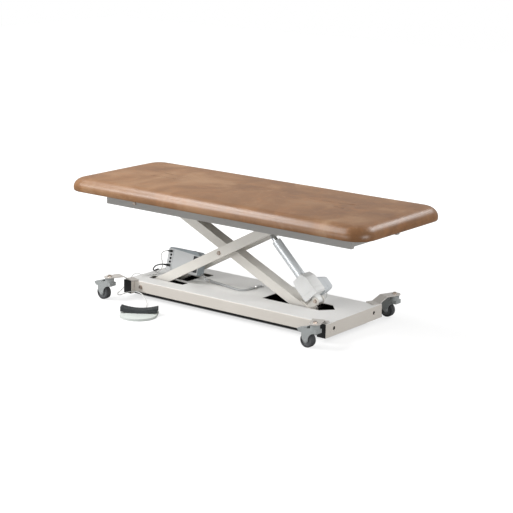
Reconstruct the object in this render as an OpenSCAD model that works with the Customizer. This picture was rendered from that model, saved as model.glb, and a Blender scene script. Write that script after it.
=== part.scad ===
// Height-adjustable examination table: a crowned one-piece pad on a steel top
// frame, a crossed-arm lift with an electric linear actuator, and a low base
// on four braked castors with a control box and a foot pedal.
// Millimetres, +Z up, +X along the table, origin on the floor under the
// middle of the base. The pieces stand at the height that the photo shows.

/* [Base] */
// Length of the base over the outer faces of its cross tubes
base_length = 1335; // [1250:1:1420]
// Width of the sheet cover between the cross tubes
base_width = 458; // [450:1:480]
// Height of the cover's top face above the floor
base_top_z = 96; // [94:0.5:98]
// Height of the cover's sides
skirt_h = 60; // [56:1:64]
// Thickness of the cover's sheet
sheet_t = 3; // [2.5:0.1:3.5]
// Bend radius of the cover's long edges
cover_bend_r = 6; // [4:0.5:10]
// Width of a cross tube
cross_tube_w = 51; // [45:1:60]
// Height of a cross tube
cross_tube_h = 72; // [66:1:76]
// Length of a cross tube
cross_tube_len = 508; // [490:1:530]
// Wall of a cross tube
cross_tube_wall = 3; // [2:0.1:4]
// Spacing of the two holes in the end face
end_hole_spacing = 361; // [300:1:400]
// Diameter of the two holes in the end face
end_hole_d = 19; // [10:0.5:24]

/* [Castors] */
// Distance of a castor from the middle, along the table
castor_x = 677; // [665:1:690]
// Distance of a castor from the middle, across the table
castor_y = 360; // [345:1:380]
// Thickness of a castor arm
arm_plate_t = 5; // [4:0.5:8]
// Rise of a castor arm from the cross tube to the castor
arm_rise = 29; // [24:1:32]
// Width of a castor arm on the cross tube
arm_plate_w = 66; // [56:1:72]
// Diameter of a castor wheel
wheel_d = 75; // [68:1:80]
// Width of a castor wheel
wheel_w = 34; // [28:1:36]
// Distance from the swivel to the wheel's axle
castor_trail = 40; // [36:1:44]
// Diameter of a wheel axle
wheel_axle_d = 8; // [6:0.5:10]

/* [Lift] */
// Distance between the two pivots of an outer arm
arm_a_pitch = 1016; // [1000:1:1030]
// Distance between the two pivots of the inner arm
arm_b_pitch = 1143; // [1130:1:1156]
// Slope of the outer arms as drawn
rest_angle = 28.5; // [28:0.1:29]
// Distance of the lower fixed pivot from the middle of the base
base_pivot_x = 570; // [568:1:582]
// Height of the lower pivots above the floor
base_pivot_z = 62.5; // [61.5:0.5:63.5]
// Depth of the arm tubes
arm_h = 51; // [46:1:52]
// Width of an outer arm
arm_a_w = 25; // [20:1:30]
// Distance of an outer arm's middle from the table's middle
arm_a_y = 102.5; // [98:0.5:106]
// Width of the inner arm
arm_b_w = 70; // [60:1:76]
// Wall of the arm tubes
arm_wall = 2.5; // [2:0.1:4]
// Radius of an arm's nose round its upper pivot
arm_nose_r = 16; // [14:0.5:17]
// Diameter of the three pivot shafts
pivot_d = 16; // [12:1:18]
// Diameter of the roller axles
roller_axle_d = 12; // [10:0.5:14]
// Diameter of the track rollers
roller_d = 24; // [20:0.5:26]
// Width of the track rollers
roller_w = 15; // [12:0.5:16]
// Free play of a roller in its track, above and below
roller_play = 2.2; // [2:0.1:2.6]

/* [Actuator] */
// Distance of the lower pin past the inner arm's end pivot, along the arm
clevis_along = 16; // [10:1:20]
// Height of the lower pin above the inner arm's middle line
clevis_rise = 78; // [74:1:84]
// Distance of the rod's pin from the arms' crossing, along the outer arms
rod_pin_along = 280; // [276:1:284]
// Diameter of the actuator's pins
actuator_pin_d = 12; // [10:0.5:14]
// Diameter of the outer tube
tube_d = 50; // [44:1:54]
// Diameter of the sliding rod
rod_d = 28; // [24:1:30]
// Distance from the lower pin to the end of the outer tube
tube_end = 384; // [340:1:400]
// Length of the gear housing
gear_len = 128; // [120:1:140]
// Depth of the gear housing
gear_h = 95; // [88:1:98]
// Width of the gear housing
gear_w = 80; // [60:1:84]
// Width of the motor housing at its root
motor_w = 101; // [90:1:104]
// Height of the motor housing at its root
motor_h = 84; // [76:1:88]
// Length of the motor housing beside the gear housing
motor_len = 98; // [60:1:110]

/* [Top frame] */
// Length of the top frame
frame_length = 1603; // [1560:1:1700]
// Distance of the frame's left end from its fixed pivot
frame_overhang = 183.4; // [170:0.1:200]
// Width of the top frame
frame_width = 438; // [430:1:450]
// Height of a side rail
rail_h = 79; // [74:1:84]
// Depth of a side rail's flanges
rail_w = 25; // [24:1:30]
// Wall of the side rails
rail_t = 3; // [2:0.1:4]
// Height from the upper pivots to the underside of the board
pivot_to_board = 20.7; // [20:0.1:24]

/* [Pad] */
// Length of the pad
pad_length = 1930; // [1700:1:2100]
// Width of the pad
pad_width = 766; // [700:1:800]
// Thickness of the pad at its middle
pad_h = 75; // [50:1:90]
// Distance of the pad's left end from the frame's left end
pad_overhang = 155.5; // [140:0.5:170]
// Corner radius of the pad
pad_corner_r = 110; // [80:1:160]
// Thickness of the wooden board
board_t = 15; // [12:0.5:19]
// Distance from the pad's edge to the board's edge
board_inset = 14; // [10:1:20]

/* [Control box] */
// Length of the control box
box_length = 222; // [190:1:230]
// Height of the control box along its face
box_h = 128; // [90:1:130]
// Depth of the control box
box_d = 58; // [50:1:60]
// Lean of the control box from upright
box_lean = 15; // [12:1:20]

/* [Foot pedal] */
// Radius of the pedal's half-round plate
pedal_r = 98; // [90:1:110]
// Thickness of the pedal's plate
pedal_t = 12; // [10:0.5:14]
// Depth of the treadle
treadle_depth = 56; // [44:1:64]

/* [Cables] */
// Diameter of the mains cord
mains_d = 7; // [6:0.5:8]
// Diameter of the pedal's cable
pedal_cable_d = 5; // [4.5:0.5:6]
// Diameter of the actuator's cable
lead_d = 12; // [8:0.5:14]
// Turns of the stored mains cord
coil_turns = 7; // [5:1:9]
// Radius of the stored coil's inner turns
coil_inner_r = 30; // [28:1:34]

/* [Hidden] */

steel_colour = [0.86, 0.84, 0.80];
frame_colour = [0.66, 0.65, 0.63];
plastic_colour = [0.90, 0.90, 0.89];
bolt_colour = [0.55, 0.47, 0.42];

round_fn = 32;
// Running play between a shaft and its hole, on the radius
shaft_play = 0.05;
// Play between two pieces that move past each other
play = 0.3;
// Width that a cutting tool runs past the face that it cuts
cut = 1;

// Places of the lift's pivots, as points [x, z]
half_a = arm_a_pitch / 2;
half_b = arm_b_pitch / 2;
angle_a = rest_angle;
angle_b = asin(half_a / half_b * sin(angle_a));
function polar(r, a) = [r * cos(a), r * sin(a)];
pivot_base = [-base_pivot_x, base_pivot_z];
pivot_mid = pivot_base + polar(half_a, angle_a);
pivot_low = pivot_mid + polar(half_b, -angle_b);
pivot_top = pivot_mid - polar(half_b, -angle_b);
pivot_far = pivot_mid + polar(half_a, angle_a);
along_b = polar(1, -angle_b);
up_b = polar(1, 90 - angle_b);
clevis_at = pivot_low + clevis_along * along_b + clevis_rise * up_b;
rod_pin_at = pivot_mid + polar(rod_pin_along, angle_a);
actuator_run = rod_pin_at - clevis_at;
actuator_len = norm(actuator_run);
actuator_angle = atan2(actuator_run[1], actuator_run[0]);

cross_tube_x = base_length / 2 - cross_tube_w / 2;
cover_length = base_length - 2 * cross_tube_w;
cross_tube_z = base_top_z - cross_tube_h / 2;
skirt_inner_y = base_width / 2 - sheet_t;
cross_tube_bottom_z = base_top_z - cross_tube_h;

// The pan under the base: side strips that show under the skirt, and a floor
pan_t = 2;
pan_strip_t = 3;
pan_strip_h = 22;
pan_gap = 0.4;
pan_z = base_top_z - skirt_h - 14;
board_z = pivot_top[1] + pivot_to_board;
rail_z = board_z - rail_h;
rail_web_y = frame_width / 2 - rail_t;
frame_x0 = pivot_top[0] - frame_overhang;
pad_mid_x = frame_x0 - pad_overhang + pad_length / 2;

// The reach of the tracks, a little more than the rollers' travel
lower_track_x0 = pivot_low[0] - 0.1715 * arm_b_pitch;
lower_track_x1 = pivot_low[0] + 0.0735 * arm_b_pitch;
upper_track_x0 = pivot_far[0] - 0.181 * arm_a_pitch;
upper_track_x1 = pivot_far[0] + 0.073 * arm_a_pitch;

// The open slots in the base cover
arm_slot_x0 = pivot_base[0] - 26;
arm_slot_x1 = pivot_base[0] + 217;
arm_slot_y0 = arm_a_y - arm_a_w / 2 - 7;
arm_slot_y1 = arm_a_y + arm_a_w / 2 + 21;
inner_slot_x0 = pivot_low[0] - 266;
inner_slot_x1 = pivot_low[0] + 96;
inner_slot_tip = 58;
inner_slot_half = 64;
foot_slot_x1 = pivot_base[0] + 190;
foot_slot_half = 60;

// Castors, numbered from near left: near left, near right, far right, far left
castor_sign = [[-1, -1], [1, -1], [1, 1], [-1, 1]];
castor_top_z = base_top_z + arm_rise;

module at_arm_a() {
    translate([pivot_base[0], 0, pivot_base[1]])
        rotate([0, -angle_a, 0])
            children();
}

module at_arm_b() {
    translate([pivot_mid[0], 0, pivot_mid[1]])
        rotate([0, angle_b, 0])
            children();
}

// The actuator's frame: x from the lower pin to the rod's pin, z to the floor side
module at_actuator() {
    translate([clevis_at[0], 0, clevis_at[1]])
        rotate([0, -actuator_angle, 0])
            children();
}

module at_castor(i) {
    translate([castor_sign[i][0] * castor_x, castor_sign[i][1] * castor_y, 0])
        children();
}

// A straight round bar across the table
module bar_y(d, y0, y1) {
    translate([0, y0, 0])
        rotate([-90, 0, 0])
            cylinder(d = d, h = y1 - y0, $fn = round_fn);
}

// A shape drawn in x and z, thick from y0 to y1
module upright(y0, y1) {
    translate([0, y1, 0])
        rotate([90, 0, 0])
            linear_extrude(height = y1 - y0)
                children();
}

// A box from one corner to the opposite one
module span(a, b) {
    translate(a)
        cube(b - a);
}

// Points at height z round a rectangle with round corners, n to each corner
function round_ring(l, w, r, z, n) = [for (q = [0:3], k = [0:n - 1])
    let (a = 90 * q + 90 * k / (n - 1))
    [(q == 0 || q == 3 ? 1 : -1) * (l / 2 - r) + r * cos(a),
     (q < 2 ? 1 : -1) * (w / 2 - r) + r * sin(a), z]];

// A closed skin over rings of n points each
module skin(rings, n) {
    m = len(rings);
    polyhedron(
        points = [for (g = rings) each g],
        faces = concat(
            [[for (k = [0:n - 1]) k]],
            [for (i = [0:m - 2], k = [0:n - 1])
                [i * n + k, (i + 1) * n + k, i * n + (k + 1) % n]],
            [for (i = [0:m - 2], k = [0:n - 1])
                [(i + 1) * n + k, (i + 1) * n + (k + 1) % n, i * n + (k + 1) % n]],
            [[for (k = [n - 1:-1:0]) (m - 1) * n + k]]),
        convexity = 8);
}

// The profile of an arm: round at its lower end, a tapered nose at its upper end
module arm_outline(len, round_low) {
    taper = 48;
    circle(r = round_low, $fn = round_fn);
    translate([0, -arm_h / 2])
        square([len - taper, arm_h]);
    polygon([[len - taper, -arm_h / 2], [len, -arm_nose_r],
        [len, arm_nose_r], [len - taper, arm_h / 2]]);
    translate([len, 0])
        circle(r = arm_nose_r, $fn = round_fn);
}

// A hollow arm from its lower pivot at the origin, with sleeves at its pivots
module hollow_arm(len, w, holes) {
    difference() {
        union() {
            difference() {
                upright(-w / 2, w / 2)
                    arm_outline(len, arm_h / 2);
                span([-arm_h, -w / 2 + arm_wall, -arm_h / 2 + arm_wall],
                    [len - 60, w / 2 - arm_wall, arm_h / 2 - arm_wall]);
            }
            for (h = holes)
                translate([h[0], 0, 0])
                    bar_y(h[1] + 10, -w / 2, w / 2);
        }
        for (h = holes)
            translate([h[0], 0, 0])
                bar_y(h[1] + 2 * shaft_play, -w / 2 - cut, w / 2 + cut);
    }
}

// A hexagon-headed bolt head standing on y = 0 and facing -Y, with its washer
module side_bolt_head(across) {
    translate([0, -1.5, 0])
        bar_y(across * 1.35, 0, 1.5);
    translate([0, -8, 0])
        rotate([-90, 0, 0])
            cylinder(d = across * 1.12, h = 6.5, $fn = 6);
}

// Base

module base_cover() {
    color(steel_colour)
    difference() {
        rotate([90, 0, 90])
            translate([0, 0, -cover_length / 2])
                linear_extrude(height = cover_length)
                    cover_section();
        for (s = [-1, 1])
            span([arm_slot_x0, s > 0 ? arm_slot_y0 : -arm_slot_y1, base_top_z - 2 * sheet_t],
                [arm_slot_x1, s > 0 ? arm_slot_y1 : -arm_slot_y0, base_top_z + cut]);
        span([arm_slot_x0 + 30, -foot_slot_half, base_top_z - 2 * sheet_t],
            [foot_slot_x1, foot_slot_half, base_top_z + cut]);
        translate([0, 0, base_top_z - 2 * sheet_t])
            linear_extrude(height = 3 * sheet_t)
                polygon([[inner_slot_x0, -inner_slot_half], [inner_slot_x1, -inner_slot_half],
                    [inner_slot_x1 + inner_slot_tip, 0], [inner_slot_x1, inner_slot_half],
                    [inner_slot_x0, inner_slot_half]]);
        translate([pivot_base[0], 0, pivot_base[1]])
            bar_y(pivot_d + 2 * shaft_play, -base_width, base_width);
        translate([lead_hole[0], lead_hole[1], base_top_z - 2 * sheet_t])
            cylinder(d = lead_hole_d, h = 3 * sheet_t, $fn = round_fn);
    }
}

// The cover's folded section, in y and z
module cover_section() {
    difference() {
        union() {
            translate([-base_width / 2, base_top_z - skirt_h])
                square([base_width, skirt_h - cover_bend_r]);
            translate([-base_width / 2 + cover_bend_r, base_top_z - cover_bend_r - cut])
                square([base_width - 2 * cover_bend_r, cover_bend_r + cut]);
            for (s = [-1, 1])
                translate([s * (base_width / 2 - cover_bend_r), base_top_z - cover_bend_r])
                    circle(r = cover_bend_r, $fn = round_fn);
        }
        translate([-skirt_inner_y, base_top_z - skirt_h - cut])
            square([2 * skirt_inner_y, skirt_h - sheet_t + cut]);
    }
}

// Black closing strips inside the skirt and a thin floor between them, clear of the arms' feet
module base_pan() {
    color([0.08, 0.08, 0.08]) {
        for (s = [-1, 1])
            span([-cover_length / 2, s > 0 ? skirt_inner_y - pan_strip_t : -skirt_inner_y, pan_z],
                [cover_length / 2, s > 0 ? skirt_inner_y : pan_strip_t - skirt_inner_y, pan_z + pan_strip_h]);
        span([-cover_length / 2, pan_strip_t + pan_gap - skirt_inner_y, cross_tube_bottom_z],
            [cover_length / 2, skirt_inner_y - pan_strip_t - pan_gap, cross_tube_bottom_z + pan_t]);
    }
}

// A roller track: a channel open towards the middle, its web at y = web_y
module roller_track(x0, x1, web_y, depth, z) {
    gap = roller_d / 2 + roller_play;
    wall = 2.5;
    side = sign(web_y);
    difference() {
        span([x0, min(web_y, web_y - side * depth), z - gap - wall],
            [x1, max(web_y, web_y - side * depth), z + gap + wall]);
        span([x0 - cut, min(web_y - side * wall, web_y - side * (depth + cut)), z - gap],
            [x1 + cut, max(web_y - side * wall, web_y - side * (depth + cut)), z + gap]);
    }
}

track_depth = 22;

module lower_roller_tracks() {
    color(steel_colour)
    for (s = [-1, 1])
        roller_track(lower_track_x0, lower_track_x1, s * skirt_inner_y, track_depth, pivot_low[1]);
}

module cross_tube() {
    difference() {
        translate([-cross_tube_w / 2, -cross_tube_len / 2, -cross_tube_h / 2])
            cube([cross_tube_w, cross_tube_len, cross_tube_h]);
        translate([-cross_tube_w / 2 + cross_tube_wall, -cross_tube_len / 2 - cut,
            -cross_tube_h / 2 + cross_tube_wall])
            cube([cross_tube_w - 2 * cross_tube_wall, cross_tube_len + 2 * cut,
                cross_tube_h - 2 * cross_tube_wall]);
    }
}

module crossmember_left() {
    color(steel_colour)
    translate([-cross_tube_x, 0, cross_tube_z])
        cross_tube();
}

module crossmember_right() {
    color(steel_colour)
    translate([cross_tube_x, 0, cross_tube_z])
        difference() {
            cross_tube();
            for (s = [-1, 1])
                translate([0, s * end_hole_spacing / 2, 2])
                    rotate([0, 90, 0])
                        cylinder(d = end_hole_d, h = cross_tube_w, $fn = round_fn);
        }
}

module crossmember_caps() {
    plug = 14;
    lip = 2;
    color([0.08, 0.08, 0.08])
    for (sx = [-1, 1], sy = [-1, 1])
        translate([sx * cross_tube_x, sy * cross_tube_len / 2, cross_tube_z])
            mirror([0, sy < 0 ? 1 : 0, 0]) {
                translate([-cross_tube_w / 2, 0, -cross_tube_h / 2])
                    cube([cross_tube_w, lip, cross_tube_h]);
                translate([-cross_tube_w / 2 + cross_tube_wall, -plug,
                    -cross_tube_h / 2 + cross_tube_wall])
                    cube([cross_tube_w - 2 * cross_tube_wall, plug,
                        cross_tube_h - 2 * cross_tube_wall]);
            }
}

// A castor arm in plan: wide on the cross tube, narrow and round at the castor
arm_foot = [cross_tube_x - 22, cross_tube_len / 2 - 42];
arm_tip = [castor_x, castor_y];
arm_run = norm(arm_tip - arm_foot);
arm_turn = atan2(arm_tip[1] - arm_foot[1], arm_tip[0] - arm_foot[0]);
arm_tip_r = 30;
arm_bend_x = arm_run - 92;

module castor_arm() {
    flat = arm_bend_x - 26;
    t = arm_plate_t;
    translate([arm_foot[0], arm_foot[1], base_top_z])
        rotate([0, 0, arm_turn])
            difference() {
                intersection() {
                    upright(-arm_plate_w, arm_plate_w)
                        polygon([[0, 0], [flat, 0], [arm_bend_x + 22, arm_rise],
                            [arm_run + arm_tip_r, arm_rise], [arm_run + arm_tip_r, arm_rise + t],
                            [arm_bend_x + 20, arm_rise + t], [flat - 2, t], [0, t]]);
                    linear_extrude(height = arm_rise + 2 * t) {
                        polygon([[0, -arm_plate_w / 2], [flat, -arm_plate_w / 2],
                            [arm_run - 30, -arm_tip_r], [arm_run, -arm_tip_r],
                            [arm_run, arm_tip_r], [arm_run - 30, arm_tip_r],
                            [flat, arm_plate_w / 2], [0, arm_plate_w / 2]]);
                        translate([arm_run, 0])
                            circle(r = arm_tip_r, $fn = round_fn);
                    }
                }
                translate([arm_run, 0, 0])
                    cylinder(d = bolt_d + 2 * shaft_play, h = 100, $fn = round_fn);
            }
}

module castor_arms() {
    color(steel_colour)
    for (c = castor_sign)
        mirror([c[0] < 0 ? 1 : 0, 0, 0])
            mirror([0, c[1] < 0 ? 1 : 0, 0])
                castor_arm();
}

// The swivel bolt of each castor: head, washer and shank
bolt_d = 12;
bolt_shank_len = 34;
module castor_bolts() {
    top = castor_top_z + arm_plate_t;
    color(bolt_colour)
    for (i = [0:3])
        at_castor(i) {
            translate([0, 0, top])
                cylinder(d = 24, h = 2, $fn = round_fn);
            translate([0, 0, top + 2])
                cylinder(d = 20, h = 7, $fn = 6);
            translate([0, 0, top - bolt_shank_len])
                cylinder(d = bolt_d, h = bolt_shank_len, $fn = round_fn);
        }
}

module base_pivot_shaft() {
    half = base_width / 2;
    color(bolt_colour)
    translate([pivot_base[0], 0, pivot_base[1]]) {
        bar_y(pivot_d, -half, half);
        translate([0, -half, 0])
            side_bolt_head(pivot_d + 2);
        mirror([0, 1, 0])
            translate([0, -half, 0])
                side_bolt_head(pivot_d + 2);
    }
}

// Castors, drawn about their swivel axis with the wheel trailing to -X

axle_at = [-castor_trail, wheel_d / 2];
fork_top_z = castor_top_z - play;
cheek_in = wheel_w / 2 + 1.5;
cheek_out = wheel_w / 2 + 6;
lever_at = [-46, wheel_d + 11];
lever_pin_d = 4;

boss_r = 12;
cheek_top_z = 100;

// A cheek: its back edge slopes in to the axle, its front edge is a wide arch
module fork_cheek() {
    x = axle_at[0];
    difference() {
        union() {
            translate(axle_at)
                circle(r = boss_r, $fn = round_fn);
            polygon([[24, 88], [24, cheek_top_z], [x - 18, cheek_top_z], [x - 26, 88],
                [x - 26, 60], [x - 21, 42], [x - 11, 32], axle_at, [x + boss_r, axle_at[1]],
                [10, 88]]);
        }
        translate([x + boss_r + 40, axle_at[1] + 2])
            circle(r = 40, $fn = round_fn);
    }
}

module castor_fork(i) {
    head_d = 48;
    block_z = wheel_d + 5;
    head_z = 86;
    at_castor(i) {
        difference() {
            union() {
                for (s = [-1, 1])
                    upright(s > 0 ? cheek_in : -cheek_out, s > 0 ? cheek_out : -cheek_in)
                        fork_cheek();
                span([-34, -cheek_out, block_z], [24, cheek_out, cheek_top_z]);
                translate([0, 0, head_z])
                    cylinder(d = head_d, h = fork_top_z - head_z - 4, $fn = round_fn);
                translate([0, 0, fork_top_z - 5])
                    cylinder(d = head_d - 12, h = 5, $fn = round_fn);
            }
            translate([0, 0, castor_top_z + arm_plate_t - bolt_shank_len - play])
                cylinder(d = bolt_d + 2 * shaft_play, h = bolt_shank_len, $fn = round_fn);
            translate([lever_at[0], 0, lever_at[1]])
                bar_y(lever_pin_d + 2 * shaft_play, -cheek_out - cut, cheek_out + cut);
        }
        translate([axle_at[0], 0, axle_at[1]]) {
            bar_y(wheel_axle_d, -cheek_out, cheek_out);
            bar_y(15, -cheek_out - 2, -cheek_out);
            bar_y(15, cheek_out, cheek_out + 2);
        }
    }
}

module castor_wheel(i) {
    r = wheel_d / 2;
    rim_r = r - 10;
    half = wheel_w / 2;
    bore_r = wheel_axle_d / 2 + shaft_play;
    hub_r = 11;
    tyre_half = half - 1;
    at_castor(i)
        translate([axle_at[0], 0, axle_at[1]])
            rotate([90, 0, 0]) {
                rotate_extrude($fn = 40)
                    polygon([[rim_r, -tyre_half], [r - 5, -half], [r - 1, -half + 2],
                        [r, -half + 6], [r, half - 6], [r - 1, half - 2], [r - 5, half],
                        [rim_r, tyre_half]]);
                rotate_extrude($fn = 40)
                    polygon([[bore_r, -half], [hub_r, -half], [hub_r, 4 - half],
                        [rim_r, 4 - half], [rim_r, half - 4], [hub_r, half - 4],
                        [hub_r, half], [bore_r, half]]);
            }
}

// The foot lever that locks a castor
module castor_brake(i) {
    half = cheek_in - play;
    at_castor(i)
        translate([lever_at[0], 0, lever_at[1]]) {
            bar_y(lever_pin_d, -cheek_out, cheek_out);
            bar_y(11, -half, half);
            upright(-half + 3, half - 3)
                polygon([[8, 22], [-23, 13], [-46, 7], [-52, 1], [-40, -13], [-26, -13],
                    [-16, -6], [-8, -2], [-5, -9], [2, -9], [6, -4], [8, 10]]);
        }
}

// Lift: outer arms

module outer_arm(s) {
    color(steel_colour)
    at_arm_a()
        translate([0, s * arm_a_y, 0])
            hollow_arm(arm_a_pitch, arm_a_w,
                [[0, pivot_d], [half_a, pivot_d], [arm_a_pitch, roller_axle_d]]);
}

module outer_arm_near() {
    outer_arm(-1);
}

module outer_arm_far() {
    outer_arm(1);
}

arm_gap = arm_a_y - arm_a_w / 2;
rod_tube_d = 30;
rod_tube_drop = 62;
tie_tube_past = 76;
ear_gap = tube_d / 2 + 2;
ear_t = 5;

// The pivot sleeve at the foot, the tube that the rod pushes and a tie tube
module outer_arm_cross_tubes() {
    color(steel_colour)
    at_arm_a() {
        difference() {
            bar_y(pivot_d + 12, -arm_gap, arm_gap);
            bar_y(pivot_d + 2 * shaft_play, -arm_gap - cut, arm_gap + cut);
        }
        for (past = [0, tie_tube_past])
            translate([half_a + rod_pin_along + rod_tube_drop + past, 0, 0])
                difference() {
                    bar_y(rod_tube_d, -arm_gap, arm_gap);
                    bar_y(rod_tube_d - 6, -arm_gap - cut, arm_gap + cut);
                }
    }
}

// Two ears on the upper cross tube, with slots that leave the rod's pin its play
slot_tilt = 3.6;
slot_back = 6.1;
slot_ahead = 12.2;
slot_half = 2;
module rod_bracket() {
    slot_r = actuator_pin_d / 2 + slot_half;
    color(steel_colour)
    at_arm_a()
        translate([half_a + rod_pin_along, 0, 0])
            for (s = [-1, 1])
                difference() {
                    upright(s > 0 ? ear_gap : -ear_gap - ear_t, s > 0 ? ear_gap + ear_t : -ear_gap)
                        difference() {
                            union() {
                                translate([-slot_back - slot_r - 6, -slot_r - 6])
                                    square([rod_tube_drop + slot_back + slot_r + 6,
                                        2 * (slot_r + 6)]);
                                translate([rod_tube_drop, 0])
                                    circle(d = rod_tube_d + 12, $fn = round_fn);
                            }
                            translate([rod_tube_drop, 0])
                                circle(d = rod_tube_d, $fn = round_fn);
                        }
                    rotate([0, -slot_tilt, 0]) {
                        translate([-slot_back, 0, 0])
                            bar_y(2 * slot_r, -60, 60);
                        translate([slot_ahead, 0, 0])
                            bar_y(2 * slot_r, -60, 60);
                        span([-slot_back, -60, -slot_r], [slot_ahead, 60, slot_r]);
                    }
                }
}

module centre_pivot_shaft() {
    half = arm_a_y + arm_a_w / 2;
    color(bolt_colour)
    translate([pivot_mid[0], 0, pivot_mid[1]])
        rotate([0, -angle_a, 0]) {
            bar_y(pivot_d, -half, half);
            bar_y(pivot_d + 10, arm_b_w / 2 + play, arm_gap);
            bar_y(pivot_d + 10, -arm_gap, -arm_b_w / 2 - play);
            translate([0, -half, 0])
                side_bolt_head(pivot_d + 2);
            mirror([0, 1, 0])
                translate([0, -half, 0])
                    side_bolt_head(pivot_d + 2);
        }
}

roller_gap = 1;
upper_roller_y = rail_web_y - 2.5 - roller_gap - roller_w / 2;
lower_roller_y = skirt_inner_y - 2.5 - roller_gap - roller_w / 2;

module roller_axle(p, roller_y) {
    half = roller_y + roller_w / 2;
    translate([p[0], 0, p[1]]) {
        bar_y(roller_axle_d, -half, half);
        for (s = [-1, 1])
            translate([0, s * (roller_y - roller_w / 2 - 3), 0])
                bar_y(roller_axle_d + 6, -2, 2);
    }
}

module roller_pair(p, roller_y) {
    translate([p[0], 0, p[1]])
        for (s = [-1, 1])
            translate([0, s * roller_y, 0])
                difference() {
                    bar_y(roller_d, -roller_w / 2, roller_w / 2);
                    bar_y(roller_axle_d + 2 * shaft_play, -roller_w, roller_w);
                }
}

module upper_axle() {
    color("silver")
    roller_axle(pivot_far, upper_roller_y);
}

module upper_rollers() {
    color([0.2, 0.2, 0.2])
    roller_pair(pivot_far, upper_roller_y);
}

// Lift: inner arm

module inner_arm() {
    color(steel_colour)
    at_arm_b()
        mirror([1, 0, 0])
            translate([-half_b, 0, 0])
                hollow_arm(arm_b_pitch, arm_b_w,
                    [[0, roller_axle_d], [half_b, pivot_d], [arm_b_pitch, pivot_d]]);
}

module lower_axle() {
    color("silver")
    roller_axle(pivot_low, lower_roller_y);
}

module lower_rollers() {
    color([0.2, 0.2, 0.2])
    roller_pair(pivot_low, lower_roller_y);
}

clevis_gap = 22;
clevis_ear_t = 6;

// The two ears at the foot of the inner arm that hold the actuator's lower pin
module clevis_bracket() {
    eye_r = 21;
    foot_x0 = -60;
    foot_x1 = 6;
    foot_t = 5;
    arm_top = arm_h / 2;
    color(steel_colour)
    at_arm_b()
        translate([half_b, 0, 0])
            difference() {
                union() {
                    for (s = [-1, 1])
                        upright(s > 0 ? clevis_gap : -clevis_gap - clevis_ear_t,
                            s > 0 ? clevis_gap + clevis_ear_t : -clevis_gap) {
                            translate([clevis_along, clevis_rise])
                                circle(r = eye_r, $fn = round_fn);
                            polygon([[-18, arm_top], [foot_x1, arm_top],
                                [clevis_along + eye_r, clevis_rise - 6],
                                [clevis_along + eye_r, clevis_rise],
                                [clevis_along - 20, clevis_rise - 6]]);
                        }
                    span([foot_x0, -clevis_gap - clevis_ear_t, arm_top],
                        [foot_x1, clevis_gap + clevis_ear_t, arm_top + foot_t]);
                }
                translate([clevis_along, 0, clevis_rise])
                    bar_y(actuator_pin_d + 2 * shaft_play, -60, 60);
            }
}

module clevis_pin() {
    half = clevis_gap + clevis_ear_t;
    color(bolt_colour)
    at_arm_b()
        translate([half_b + clevis_along, 0, clevis_rise]) {
            bar_y(actuator_pin_d, -half, half);
            translate([0, -half, 0])
                side_bolt_head(16);
            mirror([0, 1, 0])
                translate([0, -half, 0])
                    side_bolt_head(16);
        }
}

// Actuator

gear_x0 = 26;
gear_x1 = gear_x0 + gear_len;
gear_z0 = 2.5 - gear_h / 2 - 5;
gear_z1 = gear_z0 + gear_h;
tube_x0 = gear_x1 - 60;
motor_x = 67;
motor_z = -6;
motor_taper = 0.3;
motor_plug_d = 36;
motor_plug = 10;
lug_w = 2 * (clevis_gap - 1);

// The plastic housing of the gears, with the metal lug that turns on the pin
module gear_housing() {
    r = 8;
    seam_x = 55;
    seam_w = 1.5;
    seam_t = 1;
    color(plastic_colour)
    at_actuator() {
        difference() {
            union() {
                upright(-gear_w / 2, gear_w / 2)
                    polygon([[gear_x0, gear_z0 + r], [gear_x0 + r, gear_z0],
                        [gear_x1 - 44, gear_z0], [gear_x1 - 29, gear_z0 + 3],
                        [gear_x1, gear_z0 + 18], [gear_x1, gear_z1 - 12],
                        [gear_x1 - 48, gear_z1], [gear_x0 + r, gear_z1], [gear_x0, gear_z1 - r]]);
                upright(-lug_w / 2, lug_w / 2) {
                    circle(r = 15, $fn = round_fn);
                    translate([0, -15])
                        square([gear_x0 + 6, 30]);
                }
            }
            bar_y(actuator_pin_d + 2 * shaft_play, -60, 60);
            rotate([0, 90, 0])
                translate([0, 0, tube_x0])
                    cylinder(d = tube_d, h = gear_len, $fn = round_fn);
            translate([motor_x, gear_w / 2 - motor_plug, motor_z])
                rotate([-90, 0, 0])
                    cylinder(d = motor_plug_d, h = 40, $fn = round_fn);
            span([seam_x, -gear_w, gear_z0 - cut], [seam_x + seam_w, seam_t - gear_w / 2, gear_z1 + cut]);
            span([seam_x, -gear_w, gear_z0 - cut], [seam_x + seam_w, gear_w, gear_z0 + seam_t]);
        }
    }
}

// The motor: a tapered, round-cornered shell set on the gear housing's far side.
// Each ring is a place along the shell and an inset; two of them cut its seam.
function motor_ring(h, inset) =
    let (share = 1 - motor_taper * h / motor_len)
    round_ring(motor_w * share - 2 * inset, motor_h * share - 2 * inset,
        22 * share - inset, h, 6);
motor_rings = [[0, 0], [40, 0], [40.6, 0.9], [42.4, 0.9], [43, 0], [motor_len - 12, 0],
    [motor_len - 6, 1.6], [motor_len - 2, 5], [motor_len, 10]];
module motor_housing() {
    color([0.80, 0.82, 0.84])
    at_actuator()
        translate([motor_x, gear_w / 2, motor_z])
            rotate([-90, 0, 0]) {
                skin([for (g = motor_rings) motor_ring(g[0], g[1])], 24);
                translate([0, 0, -motor_plug])
                    cylinder(d = motor_plug_d, h = motor_plug, $fn = round_fn);
            }
}

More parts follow.
